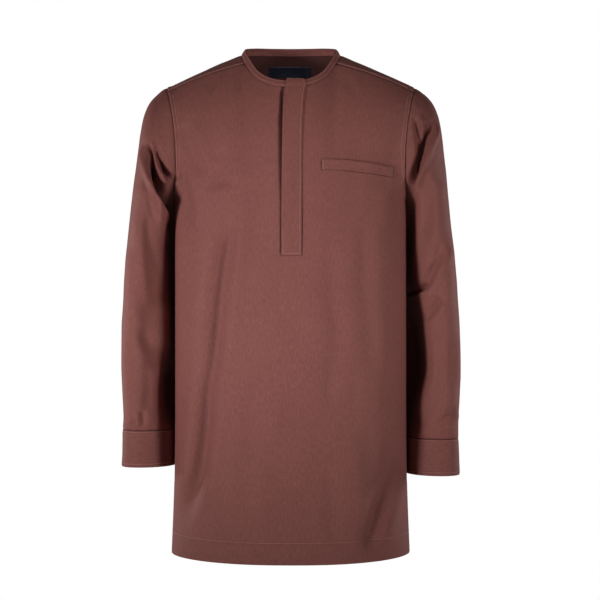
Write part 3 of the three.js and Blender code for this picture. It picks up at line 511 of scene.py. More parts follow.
# Folds of the front: path over x and z, half width, depth, and how much lip stands beside it
FRONT_FOLDS = [
    ([(-102, -262), (-107, -300), (-113, -342), (-125, -427), (-134, -512), (-146, -583),
      (-152, -666), (-162, -723), (-178, -781), (-190, -832)], 15.5, -14, .2),
    ([(-150, -290), (-150, -360), (-158, -440), (-166, -520)], 17, 2.4, .2),
    ([(-166, -560), (-174, -640), (-182, -720), (-192, -790)], 13, 5, .2),
    ([(-60, -560), (-66, -650), (-72, -740), (-70, -850)], 20, -2.2, .5),
    ([(-26, -420), (-30, -560), (-22, -700)], 24, 1.8, .3),
    ([(118, -280), (127, -350), (131, -430), (136, -495), (140, -560)], 14, -2.2, .5),
    ([(70, -310), (71, -420), (80, -478), (70, -565), (66, -660)], 15, -3.4, .4),
    ([(66, -700), (72, -780), (66, -850)], 13, -2.6, .5),
    ([(184, -650), (176, -722), (158, -768), (141, -812), (130, -862)], 17, -12, .4),
    ([(174, -400), (170, -520), (178, -630)], 16, -1.8, .4),
    ([(104, -640), (114, -730), (122, -800), (118, -850)], 18, 4, .3),
    ([(30, -380), (36, -480), (30, -600)], 26, 1.7, .3),
    ([(-123, -160), (-124, -201), (-118, -240)], 19, -4, .2),
    ([(-186, -120), (-172, -170), (-150, -215)], 13, -4.6, .5),
    ([(-197, -172), (-186, -232), (-172, -300)], 11, -5, .5),
    ([(190, -130), (174, -190), (158, -240)], 14, -2, .5),
    ([(196, -180), (187, -240), (176, -330)], 12, -2.6, .5),
    ([(-132, -34), (-136, -50), (-140, -66)], 6, -2.2, .6),
    ([(-84, -34), (-86, -48), (-90, -62)], 7, -1.8, .6),
    ([(100, -34), (104, -52), (110, -70)], 8, -1.6, .5),
]


def drape(across, along, seed):
    """Uneven hang of plain cloth: broad upright waves, and shallow rumples between them."""
    return (1.5 * field(across + 0.12 * along, along, 46, 260, seed)
            + 0.6 * field(across - 0.2 * along, along, 22, 120, seed + 1)
            + 0.22 * field(across, along, 9, 34, seed + 2))


def crevice(x, z):
    """Depth of the crease beside the placket's free edge: a bell of the distance from it. It
    leans with the edge near the neck, thins to a line on its way down, and ends smoothly."""
    middle = 3.5 * ease((z + 130) / 60) - 15.5
    deep = 1.4 + 8.5 * ease((z + 270) / 150)
    ends = ease((z + 358) / 14) * ease((-58 - z) / 16)
    return deep * bell(x - middle, 3.2) * ends


def pucker(along, seed):
    """Small waves of a seam, uneven in length, that the thread draws up."""
    return 0.3 * field(along, np.zeros_like(along), 7, 1, seed) + 0.2 * field(
        along, np.zeros_like(along), 15, 1, seed + 1)


def hem_relief(up, deep, seed, across):
    """A turned hem: a doubled band, pinched at its stitch line and drawn into short waves."""
    return (0.7 * (1 - ease((up - deep) / 3)) - 1.1 * bell(up - deep, 2.2)
            + 1.3 * pucker(across, seed) * bell(up - deep, 14))


def edge_fade(q):
    """1 over a panel, easing to 0 at its side edges."""
    return ease((1 - np.abs(q)) / 0.05)


def from_top_of(cloth):
    """Distances down the cloth from its last row."""
    return cloth.v[-1:] - cloth.v


def from_sides_of(cloth):
    """Distances in from the nearer side edge."""
    return np.minimum(cloth.u - cloth.u[:, :1], cloth.u[:, -1:] - cloth.u)


def sewn_edges(cloth, q, s, seed, top_deep, ditches):
    """Relief of a panel's sewn edges: the hem and the vents' bands below the armpits, the
    doubled armhole seams above them, and a ditch along the top. A ditch in the armhole seam
    is a bell, given by its depth, its distance from the edge and its half width."""
    top_gap, side_gap = from_top_of(cloth), from_sides_of(cloth)
    across, along = cloth.points[..., 0], cloth.points[..., 2]
    hem = hem_relief(cloth.v, HEM_DEEP, seed, cloth.u)
    vent = ease((VENT_LONG - cloth.v) / 4) * (0.6 - 0.9 * bell(side_gap - VENT_IN, 2))
    seam = 0.9 * (1 - ease((side_gap - SEAM_WIDE) / 3))
    for deep, place, half in ditches:
        seam = seam - deep * bell(side_gap - place, half)
    seam = seam * ease(top_gap / 8) + pucker(along, seed + 2) * bell(side_gap - 8, 12)
    top = pucker(across, seed + 4) * bell(top_gap - 6, 8) - top_deep * bell(top_gap, 2.5)
    return (hem + vent) * edge_fade(q) + ease((s + 4) / 8) * seam + top


plain = (folds(FRONT_FOLDS, across, along)
         + drape(across, along, 11) * ease((-60 - along) / 120)) * ease(from_top_of(front) / 20)
front.relief(plain * edge_fade(q)
             + sewn_edges(front, q, s, 21, top_deep=1.0,
                          ditches=((0.9, SEAM_WIDE, 2), (0.9, 0, 1.5))))
smooth_front = Cloth(front.points.copy())
front.relief(-crevice(across, along))
slit_x = front_q[:-1] * ARMPIT_HALF
in_slit = (slit_x > SLIT[0] - 1) & (slit_x < SLIT[1] - 1)
cut = (front_s[:-1] > SLIT_END - ARMPIT)[:, None] & in_slit[None]
front_piece = front.make("front_panel", cloth_finish, cut=cut)
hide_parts("front")

# The thread is spun polyester, a little lighter than the cloth; part of that lightness is
# painted highlight of the raised stitches. It lies on top in stitches of even length, and
# goes down into the cloth between them. Where two pieces meet at a lap, a near-black thread
# is painted shadow: it stands for the narrow shade in the seam's ditch.
STITCH, STITCH_GAP = 2.3, 0.75        # length on top of the cloth, and what is left between
THREAD = 0.36                         # half of its thickness as it shows
LINE_POINTS = 400                     # of the lines that are stitched along
EDGE_STITCH, SEAM_STITCH = 2.0, 7.5   # in from the edge: at the fold, and through the allowance
STITCH_RING = np.array([(-1, 0), (0, 1), (1, 0), (0, -0.6)])
STITCH_ALONG = np.array([-0.5, -0.32, 0.32, 0.5])
STITCH_THICK = np.array([0.35, 1, 1, 0.35])[:, None, None]
STITCH_HIGH = np.array([-0.5, 0.25, 0.25, -0.5])[:, None, None]
# The thread's lighter colour is partly its own and partly painted highlight of the raised stitches
thread_and_highlight_finish = Finish("thread", Sheen_Weight=0.2, Specular_IOR_Level=0.5)
twist = thread_and_highlight_finish.streaks(*thread_and_highlight_finish.across_along(), 0.0006, 0.0006)
thread_and_highlight_finish = thread_and_highlight_finish.surface(
    Base_Color=thread_and_highlight_finish.blend((0.26, 0.105, 0.09), (0.52, 0.25, 0.22), twist),
    Roughness=0.5, Normal=thread_and_highlight_finish.bump(twist, 0.0001, 0.4))
# The near-black finish paints the shadow in seam ditches; it is not a real thread colour
painted_seam_shadow_finish = Finish("seam", Sheen_Weight=0.0, Specular_IOR_Level=0.2)
painted_seam_shadow_finish = painted_seam_shadow_finish.surface(Base_Color=(0.032, 0.0105, 0.009, 1), Roughness=0.9)


def stitching(name, lines, finish=thread_and_highlight_finish):
    """Topstitches along lines of points and directions; with the near-black finish they are rods
    of painted shadow along seams. Each stitch is a rod of four sides and four rings, whose ends
    are thinner and go down into the cloth."""
    rings, sides = len(STITCH_ALONG), len(STITCH_RING)
    side, first = np.arange(sides), sides * np.arange(rings - 1)[:, None]
    after = (side + 1) % sides
    walls = np.stack([first + side, first + after, first + sides + after, first + sides + side], -1)
    quads = np.concatenate([walls.reshape(-1, 4), [side[::-1]], [side + sides * (rings - 1)]])
    all_points = []
    for points, out in lines:
        far = np.pad(np.cumsum(np.linalg.norm(np.diff(points, axis=0), axis=1)), (1, 0))
        number = int(far[-1] // (STITCH + STITCH_GAP))
        if number < 1:
            continue
        middle = (np.arange(number) + 0.5) * far[-1] / number
        start, end, up = (np.stack([np.interp(x, far, part) for part in data.T], -1)
                          for x, data in ((middle - STITCH / 2, points),
                                          (middle + STITCH / 2, points), (middle, out)))
        way = end - start
        beside = np.cross(up, way)
        beside /= np.linalg.norm(beside, axis=1, keepdims=True)
        up = np.cross(way, beside)
        up /= np.linalg.norm(up, axis=1, keepdims=True)
        centre, way, beside, up = (x[:, None, None] for x in ((start + end) / 2, way, beside, up))
        place = (centre + STITCH_ALONG[:, None, None] * way
                 + THREAD * STITCH_THICK * STITCH_RING[:, :1] * beside
                 + THREAD * (STITCH_THICK * STITCH_RING[:, 1:] + STITCH_HIGH) * up)
        all_points.append(place.reshape(-1, 3))
    points = np.concatenate(all_points)
    stitch = np.arange(len(points) // (rings * sides))[:, None, None]
    faces = (stitch * rings * sides + quads).reshape(-1, 4)
    uv = (points @ np.array([[1, 0], [0.3, 0.3], [0, 1]]))[faces.ravel()] * MM
    new_piece(name, points, faces, finish, uv)


def level(cloth, v, start=0.0, end=1.0):
    """A line at distance v along the cloth, from one part of its width to another."""
    whole = np.arange(cloth.points.shape[1])
    j = np.linspace(start * whole[-1], end * whole[-1], LINE_POINTS)
    row = cloth.where_v(whole, np.full(whole.size, float(v)))
    return cloth.at(np.interp(j, whole, row), j)


def beside_edge(cloth, distance, start, end, last=False):
    """A line at a distance in from the first or the last column, from one row to another."""
    i = np.linspace(start, end, LINE_POINTS)
    edge = np.interp(i, np.arange(len(cloth.u)), cloth.u[:, -1 if last else 0])
    return cloth.at(i, cloth.where_u(i, edge + (-distance if last else distance)))


def panel_lines(cloth, rows_up, vent_row):
    """Topstitches of a panel: the hem, both vents up to their row, and two along each
    armhole's seam."""
    armpit, last_row = int(np.argmin(np.abs(rows_up))), len(rows_up) - 1
    lines = [level(cloth, HEM_DEEP)]
    for last in (False, True):
        lines += [beside_edge(cloth, VENT_IN, 0, vent_row, last),
                  beside_edge(cloth, EDGE_STITCH, armpit + 3, last_row - 2, last),
                  beside_edge(cloth, SEAM_STITCH, armpit + 4, last_row - 4, last)]
    return lines


vent_row = np.interp(VENT_LONG, front.v[:, FRONT_MIDDLE], np.arange(len(front_s)))
stitching("front_stitching", panel_lines(front, front_s, vent_row))

# Back
# The back is one whole panel of the same twill, cut shorter than the front and sewn into the
# yoke's straight seam across the shoulder blades. It hangs in long soft folds from there.
BACK = table("z y", [(-250, 112), (-170, 113.5), (-120, 111), (-85, 106)])
back_y = column(BACK, "z", "y")
BACK_UP = BACK["z"][-1] - ARMPIT
BACK_COLUMNS, BACK_VENT_ROW = 131, 28


def upper_back(q, t):
    """The back from the armpits, t 0, to the yoke's seam, t 1."""
    z = mix(ARMPIT, BACK["z"][-1], t)
    edge = armhole(mix(float(len(ARMHOLE)), BACK_CORNER, t))
    return upper_body(q, edge, back_y(z), z, ease(2 * t))


BACK_FOLDS = [
    ([(-2, -120), (-6, -300), (-3, -480), (4, -650), (0, -860)], 19, -5, .3),
    ([(-34, -200), (-44, -380), (-40, -560), (-52, -760)], 15, -3.2, .6),
    ([(-118, -180), (-112, -330), (-113, -480), (-130, -690), (-126, -862)], 17, -5.5, .5),
    ([(-164, -260), (-160, -400), (-168, -560)], 13, -3.4, .5),
    ([(-176, -560), (-166, -700), (-172, -840)], 13, -3.8, .6),
    ([(46, -260), (58, -420), (50, -600)], 16, -2.6, .5),
    ([(118, -200), (124, -380), (124, -520), (112, -720), (118, -866)], 16, -5.5, .5),
    ([(168, -280), (172, -420), (166, -540)], 12, -3.2, .6),
    ([(172, -600), (160, -720), (168, -850)], 14, -3.6, .4),
    ([(72, -640), (66, -760), (74, -868)], 14, 3.0, .3),
    ([(-84, -600), (-90, -740), (-82, -868)], 15, 3.2, .3),
    ([(-192, -190), (-172, -240), (-160, -320)], 12, -3.4, .5),
    ([(190, -170), (170, -225), (150, -300)], 13, -3.2, .5),
    ([(-20, -96), (-22, -150), (-30, -210)], 8, -1.8, .5),
    ([(24, -96), (22, -160), (28, -240)], 8, -1.8, .5),
]
back_s = np.concatenate([np.linspace(HEM - ARMPIT, 0, 141)[:-1], np.linspace(0, BACK_UP, 46)])
q, s = np.meshgrid(-columns_of(BACK_COLUMNS), back_s)
back = Cloth(panel(q, s, 1, upper_back, BACK_UP))
back.centre_u(BACK_COLUMNS // 2)
across, along = back.points[..., 0], back.points[..., 2]
plain = (folds(BACK_FOLDS, across, along) + drape(across, along, 41)) * ease(from_top_of(back) / 14)
back.relief(plain * edge_fade(q)
            + sewn_edges(back, q, s, 43, top_deep=1.2, ditches=((1.2, 0, 1.6),)))
back_piece = back.make("back_panel", cloth_finish)
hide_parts("back")
stitching("back_stitching", panel_lines(back, back_s, BACK_VENT_ROW))

# Plackets
# The slit is closed by two strips of doubled suiting. The under one is sewn to the slit's
# right edge, behind the front. The upper one lies over it with hidden buttons between, is
# topstitched along its fixed edge and boxed at its foot, and its free edge stands off.
DOUBLED = 1.6         # wall of a doubled strip
LAID_ON = 0.5         # air between a strip and the cloth it lies on
STAND_OFF = 2.0       # of the free edge, over the hidden buttons
EDGE_PRESSED, FOOT_PRESSED = 3.4, 4.0     # stitches beside the fixed edge and over the foot
BOX_ROW = 22                              # up to which the free edge is stitched down
TOP_OVER, TOP_SLOPE = 3.0, 0.2            # over the band's top, and less at the fixed edge
UNDER_X, UNDER_TOP, UNDER_IN = (-20, 24), -58.0, 0.8     # and its air behind the front
PLACKET = table("z right left", [(-352, -15.5, 19.5), (-240, -15, 20), (-140, -13.5, 20.5),
                                 (-80, -11.5, 23.5), (-52, -6.5, 28.5)])
BAND_WIDE, BAND_LEAN, BAND_RISE = 12.5, 0.57, 0.82
placket_right, placket_left = (column(PLACKET, "z", key) for key in ("right", "left"))


def neck_at(x):
    """The neckline's point over x at the front."""
    return over_x(neckline, YOKE_CORNER, np.asarray(x, float))


def up_band(foot, distance):
    """Up the neckband from its foot: in towards the neck by the lean, and up by the rise."""
    inward = -foot * (1, 1, 0)
    inward /= np.linalg.norm(inward, axis=-1, keepdims=True)
    distance = np.asarray(distance)[..., None]
    return foot + inward * BAND_LEAN * distance + BAND_RISE * distance * UP


def on_front(x, z, cloth=front):
    """The front's point and direction at places over x, where its middle is at height z."""
    middle = cloth.points[:, FRONT_MIDDLE, 2]
    i = np.interp(z, middle, np.arange(len(middle)))
    return cloth.at(i, place_in(between_rows(cloth.points[..., 0], i), x))


top_z = CHEST["z"][-1]
strip_parts = np.linspace(0, 1, 21)
part, z = np.meshgrid(strip_parts, np.linspace(PLACKET["z"][0], top_z, 150))
points, out = on_front(mix(placket_right(z), placket_left(z), part), z, smooth_front)
lift = STAND_OFF * ease((z + 335) / 150) * (1 + 0.25 * field(z, z, 60, 60, 51))
points = points + out * (LAID_ON + DOUBLED + lift * (1 - part) ** 3)[..., None]

# Over the neckband the strip goes on up, a little lower at its fixed edge
part, up = np.meshgrid(strip_parts, np.linspace(0, BAND_WIDE + TOP_OVER, 9)[1:])
foot = neck_at(mix(placket_right(top_z), placket_left(top_z), part))
band_out = np.array([0, -BAND_RISE, BAND_LEAN])
over_band = LAID_ON + DOUBLED + 0.6 + STAND_OFF * (1 - part) ** 3
over_band = up_band(foot, up * (1 - TOP_SLOPE * part)) + band_out * over_band[..., None]
points = np.concatenate([points, over_band])
for _ in range(4):
    points[1:-1] = (points[:-2] + 2 * points[1:-1] + points[2:]) / 4
placket = Cloth(points)
top = placket.v[-1].max()
from_right, from_left = placket.u, placket.u[:, -1:] - placket.u
from_top = from_top_of(placket)
pressed = (bell(from_left - EDGE_PRESSED, 1.3) + bell(placket.v - FOOT_PRESSED, 1.3)
           + 0.6 * bell(from_top - 16, 1.5))
placket.relief(0.35 * ease(from_left / 3) * ease(from_right / 3) - 0.55 * pressed
               - 0.6 * bell(from_right, 1.2) - 0.5 * bell(from_left, 1.2)
               - 0.7 * bell(from_top, 1.5) - 0.5 * bell(placket.v, 1.5)
               + 0.25 * pucker(placket.v, 53) * bell(from_left - 4, 5)
               + 0.35 * field(placket.u, placket.v, 12, 50, 55)
               + 0.5 * field(placket.u, placket.v, 40, 75, 57) * ease(from_top / 30))
placket_piece = placket.make("placket_over_strip", cloth_finish, DOUBLED)
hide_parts("placket_over")
stitching("placket_stitching", [
    beside_edge(placket, EDGE_PRESSED, 1, len(placket.v) - 2, last=True),
    beside_edge(placket, 3.0, 1, BOX_ROW),
    level(placket, FOOT_PRESSED, 0.06, 0.94),
    level(placket, top - 2.2, 0.08, 0.92)])
# Near-black rods paint shadow lines: under the strip's foot, and across it below the band
stitching("placket_painted_shadow", [level(placket, 0.1), level(placket, top - 28, 0.15, 0.7)], painted_seam_shadow_finish)

x, z = np.meshgrid(np.linspace(*UNDER_X, 13), np.linspace(PLACKET["z"][0], UNDER_TOP, 72))
points, out = on_front(x, z)
under = Cloth(points - out * (CLOTH + UNDER_IN))
under_piece = under.make("placket_under_strip", cloth_finish)
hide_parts("placket_under")

# Pocket
# A welt of doubled suiting closes the chest pocket. It slopes down to the armhole and bows
# upward a little. It is sewn along its foot and topstitched at both short ends, and its free
# top edge gapes.
WELT_ON = 0.8
WELT_TOP = ((53, -187), (177, -197))
WELT_WIDE = 18.5
WELT_GAPE, WELT_BOW = 1.5, (1.8, 3.0)     # the bow at the foot and at the top edge


def on_front_at(x, z):
    """The front's point and direction nearest over x and at height z, found in its grid by
    moving along the rows until the height agrees."""
    level_z = np.array(z, float)
    for _ in range(8):
        point, out = on_front(x, level_z)
        level_z = level_z + (z - point[..., 2])
    return point, out


part, down = np.meshgrid(np.linspace(0, 1, 57), np.linspace(WELT_WIDE, 0, 13))
x = mix(WELT_TOP[0][0], WELT_TOP[1][0], part)
z = mix(WELT_TOP[0][1], WELT_TOP[1][1], part) - down
points, out = on_front_at(x, z)
gape = WELT_GAPE * np.sin(np.pi * part) ** 0.7 * ease((12 - down) / 12)
bow = mix(*WELT_BOW, ease((14 - down) / 14)) * np.sin(np.pi * part**0.8)
points = points + out * (WELT_ON + CLOTH + gape)[..., None] + UP * bow[..., None]
welt = Cloth(points)
ends, from_top = from_sides_of(welt), from_top_of(welt)
welt.relief(0.3 * ease(ends / 4) - 0.5 * bell(ends - 3, 1.4) - 0.6 * bell(ends, 1.5)
            - 0.5 * bell(welt.v, 1.5) - 0.35 * bell(from_top, 1.0)
            + 0.25 * field(welt.u, welt.v, 18, 8, 61))
welt_piece = welt.make("pocket_welt_strip", cross_finish)
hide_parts("pocket_welt")
rows = len(welt.v) - 1
stitching("welt_stitching", [beside_edge(welt, distance, 0.5, rows - 0.5, last)
                             for distance in (3.0, 1.2) for last in (False, True)])
# Near-black rods paint the shadow along the welt's foot and at its ends
stitching("welt_painted_shadow", [
    level(welt, 0.1), level(welt, 0.6, 0.3),
    beside_edge(welt, 0.1, 0, rows), beside_edge(welt, 0.1, 0, rows, last=True),
    beside_edge(welt, 0.6, 0, rows, last=True)], painted_seam_shadow_finish)

# Yoke
# The yoke goes over both shoulders in one piece of twill cut crossways, from seams in front
# of the shoulder line to a straight seam across the back. Its edges are turned over the
# panels and topstitched.
YOKE_TURN = 7.4       # place on the neckline over the yoke's back corner
YOKE_BULGE = 12.0     # of the shoulder blades over the straight lines to the neck
BULGE_WAY = np.array([0, 0.6, 0.8])
NECK_X, SHOULDER_X = HALF_NECK[YOKE_CORNER][0], ARMHOLE[FRONT_CORNER][0]
NECK_RING = 2.0 * len(HALF_NECK) - 2

parts = np.linspace(0, 1, 61)


def rays(inner, outer, bulge):
    """Straight lines from the neckline out, with the bulge's parabola on each."""
    r = parts[None, :, None]
    straight = mix(inner[:, None], outer[:, None], r)
    return straight + BULGE_WAY * 4 * r * (1 - r) * bulge[:, None, None]


t = np.linspace(0, 1, 31)
shoulder = rays(neckline(mix(YOKE_CORNER, YOKE_TURN, t)),
                armhole(mix(FRONT_CORNER, BACK_CORNER, t)), YOKE_BULGE * t * t)
straight = mix(neckline(float(YOKE_CORNER)), armhole(float(FRONT_CORNER)), parts[:, None])
bend = over_x(seam_line, len(SHOULDER_SEAM) - 1, mix(NECK_X, SHOULDER_X, parts)) - straight
shoulder = shoulder + bend[None] * ((1 - t) ** 2)[:, None, None]
middle_q = -columns_of(111, 0.0)
place = np.linspace(YOKE_TURN, NECK_RING - YOKE_TURN, middle_q.size)
middle = rays(neckline(place),
              panel(middle_q, np.full_like(middle_q, BACK_UP), 1, upper_back, BACK_UP),
              np.full_like(middle_q, YOKE_BULGE))
yoke = Cloth(np.concatenate([shoulder, middle[1:-1], mirrored(shoulder[::-1])]))
to_front = np.minimum(yoke.v, yoke.v[-1:] - yoke.v)          # from the front seams
to_outer = yoke.u[:, -1:] - yoke.u                           # from the armholes and back seam
YOKE_FOLDS = [
    ([(60, 40), (100, 36), (150, 20)], 12, -1.6, .5),
    ([(-64, 44), (-110, 30), (-160, 24)], 12, -1.6, .5),
    ([(20, 70), (30, 86), (40, 104)], 9, -1.2, .4),
    ([(-30, 70), (-44, 88), (-60, 100)], 9, -1.2, .4)]
x, y = yoke.points[..., 0], yoke.points[..., 1]
seams = ease(to_front / 14) * ease(to_outer / 12) * ease(yoke.u / 10)
yoke.relief((folds(YOKE_FOLDS, x, y) + 0.7 * field(x, y, 42, 30, 71)
             + 0.25 * field(x, y, 14, 11, 73)) * seams
            + 0.8 * (1 - ease((to_front - 5) / 2.5)) - 0.8 * bell(to_front - 2, 1.4)
            - 0.9 * bell(to_front, 1.0)
            + pucker(yoke.u, 75) * bell(to_front - 4, 7)
            + 0.6 * (1 - ease((to_outer - SEAM_WIDE) / 3)) - 0.8 * bell(to_outer - SEAM_WIDE, 2)
            - 0.8 * bell(to_outer, 1.4) + pucker(yoke.v, 77) * bell(to_outer - 6, 8)
            - 0.8 * bell(yoke.u, 1.5) + 0.8 * pucker(yoke.v, 79) * bell(yoke.u - 4, 5))
# The yoke's inner wall takes the darker twill, which paints the shade inside the neck
yoke_piece = yoke.make("yoke_panel", cross_finish, inside=painted_shade_inside_finish)
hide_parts("yoke")


def along_row_edge(cloth, distance, last=False):
    """A line at a distance in from the first or the last row, over all columns but the ends."""
    whole = np.arange(cloth.points.shape[1])
    j = np.linspace(0.5, whole[-1] - 0.5, LINE_POINTS)
    v = (cloth.v[-1] - distance) if last else np.full(whole.size, float(distance))
    return cloth.at(np.interp(j, whole, cloth.where_v(whole, v)), j)


turn, rays_last = len(shoulder), len(yoke.points) - 1
yoke_lines = [along_row_edge(yoke, EDGE_STITCH), along_row_edge(yoke, EDGE_STITCH, last=True)]
for start, end in ((1, turn - 2), (rays_last - turn + 2, rays_last - 1)):
    yoke_lines.append(beside_edge(yoke, EDGE_STITCH, start, end, last=True))
    yoke_lines.append(beside_edge(yoke, SEAM_STITCH, start, end, last=True))
yoke_lines.append(beside_edge(yoke, EDGE_STITCH, turn, rays_last + 1 - turn, last=True))
stitching("yoke_stitching", yoke_lines)

# Label
# The label is a small strip of navy satin, blank. It lies flat against the inside of the yoke
# at the back of the neck, where it is sewn on.
LABEL_X, LABEL_PART = (-41.0, 37.0), (0.24, 0.44)
LABEL_CLOTH = 0.8
x, part = np.meshgrid(np.linspace(*LABEL_X, 40), np.linspace(*LABEL_PART, 14))
columns = part * (len(parts) - 1)
across = between_rows(yoke.points[..., 0].T, columns[:, 0])
rows = [np.interp(-line, -yoke_line, np.arange(len(yoke.points)))
        for line, yoke_line in zip(x, across)]
points, out = yoke.at(np.stack(rows), columns)
label = Cloth(points - out * (CLOTH + LAID_ON))
navy = Finish("navy_satin", Sheen_Weight=0.3, Sheen_Roughness=0.3, Specular_IOR_Level=0.5)
weft, warp = navy.across_along()
satin = navy.streaks(weft, warp, 0.0016, 0.0003)
navy = navy.surface(Base_Color=navy.blend((0.004, 0.005, 0.015), (0.010, 0.012, 0.034), satin),
                    Roughness=0.42 + 0.15 * satin, Normal=navy.bump(satin, 0.0001, 0.5))
label_piece = label.make("back_label", navy, LABEL_CLOTH)
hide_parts("label")

# Neckband
# The neckband is a narrow standing strip of twill, folded double over a soft interlining. It
# is sewn round the neckline and edge-stitched over its seam and under its top fold.
BAND_LEFT, BAND_RIGHT = 9.0, -3.0     # over x, where the band's ends meet behind the placket
FOOT_STITCH, FOLD_STITCH = 4.0, 2.4
ends = [np.interp(abs(x), neckline(READ * YOKE_CORNER)[:, 0], READ * YOKE_CORNER)
        for x in (BAND_LEFT, BAND_RIGHT)]
place, up = np.meshgrid(np.linspace(ends[0], NECK_RING - ends[1], 260),
                        np.linspace(-1.8, BAND_WIDE, 14))
band = Cloth(up_band(neckline(place), up))
top_gap = from_top_of(band)
band.relief(0.55 * ease(band.v / 3) * ease(top_gap / 2) - 0.45 * bell(band.v - FOOT_STITCH, 1.0)
            - 0.45 * bell(top_gap - FOLD_STITCH, 1.0) - 1.5 * bell(band.v, 1.5)
            + 0.35 * pucker(band.u, 81) * bell(band.v - 3, 4)
            + 0.35 * field(band.u, band.v, 30, 9, 83))
band_piece = band.make("neckband_strip", cross_finish, DOUBLED)
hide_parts("neckband")
stitching("neckband_stitching", [along_row_edge(band, FOOT_STITCH),
                                 along_row_edge(band, FOLD_STITCH, last=True)])

# Sleeves
# Each sleeve is one piece of twill, sewn to the armhole under the body's doubled seam, wide
# at the shoulder and narrower to the wrist. It breaks into slanting creases in front of the
# armpit and at the elbow, and its fullness is gathered into the cuff.

# A sleeve's sections: its outer and inner lines, and its depths before and behind them
SLEEVE = table("out_x out_y out_z in_x in_y in_z front back", [
    (219, 0, -49.5, 206, 0, -250, 74, 82), (237, 0, -61, 207.2, 2, -254.5, 78, 82),
    (251, 0, -76, 207.4, 6, -262, 82, 80), (260, 0, -97, 207.2, 13, -273, 85.5, 75.5),
    (266, 0, -125, 207, 23, -288, 89.5, 68.5), (271, 0, -160, 206.8, 34, -307, 93, 61),
    (276, 1, -200, 206.5, 43, -330, 95, 54), (281, 2, -245, 206, 50, -357, 95, 48),
    (286, 3, -292, 206, 55, -387, 94, 43), (291, 3, -340, 206, 58, -419, 92.5, 38.5),
    (295, 2, -390, 206, 60, -453, 91, 34), (298, 0, -440, 206, 59, -489, 88.5, 30.5),
    (300, -2, -490, 206, 55, -527, 85.5, 28.5), (300.5, -4, -540, 206, 49, -565, 81.5, 26.5),
    (299, -6, -588, 206.5, 40, -603, 75, 24), (297, -8, -630, 207, 30, -638, 64, 21),
    (297, -9, -656, 207, 24, -657, 49.5, 14.5)])
SLEEVE_ROUND = 2.15
SLEEVE_R = 60.0       # mean radius, which turns an angle into a distance round the sleeve
SLEEVE_SETTLE = 4.0   # rows over which the armhole's shape fades into the sleeve's own
SIDES = ((1, "left", 15.0), (-1, "right", 0.0))      # with how much lower the sleeve ends
LAST = len(SLEEVE["in_y"]) - 1.0
SLEEVE["row"] = np.arange(LAST + 1)
sleeve_size = {key: column(SLEEVE, "row", key) for key in SLEEVE if key != "row"}


def section(row, angle):
    """A sleeve's section at a row: an oval between its outer line, angle 0, and its inner
    line, half a turn on. Sine and cosine are raised to 2/SLEEVE_ROUND."""
    size = {key: read(row) for key, read in sleeve_size.items()}
    outer = np.stack([size["out_x"], size["out_y"], size["out_z"]], -1)
    inner = np.stack([size["in_x"], size["in_y"], size["in_z"]], -1)
    forward, outward = ((np.sign(t) * np.abs(t) ** (2 / SLEEVE_ROUND))[..., None]
                        for t in (np.sin(angle), np.cos(angle)))
    deep = np.where(forward[..., 0] > 0, size["front"], size["back"])[..., None]
    return (outer + inner) / 2 + (outer - inner) / 2 * outward - forward * deep * BACKWARD


hole = armhole(np.linspace(0, len(ARMHOLE), 201)[:-1])
first = section(np.zeros(2), np.array([0, np.pi]))
hole_centre, hole_reach = first.mean(0), (first[0] - first[1]) / 2
away = hole - hole_centre
hole_angle = np.arctan2(
    -away[:, 1] / np.where(away[:, 1] < 0, SLEEVE["front"][0], SLEEVE["back"][0]),
    away @ hole_reach / (hole_reach**2).sum())
hole_angle[0] = np.pi                 # not minus pi, so that the angle falls all the way round
hole_own = hole - section(np.zeros_like(hole_angle), hole_angle)

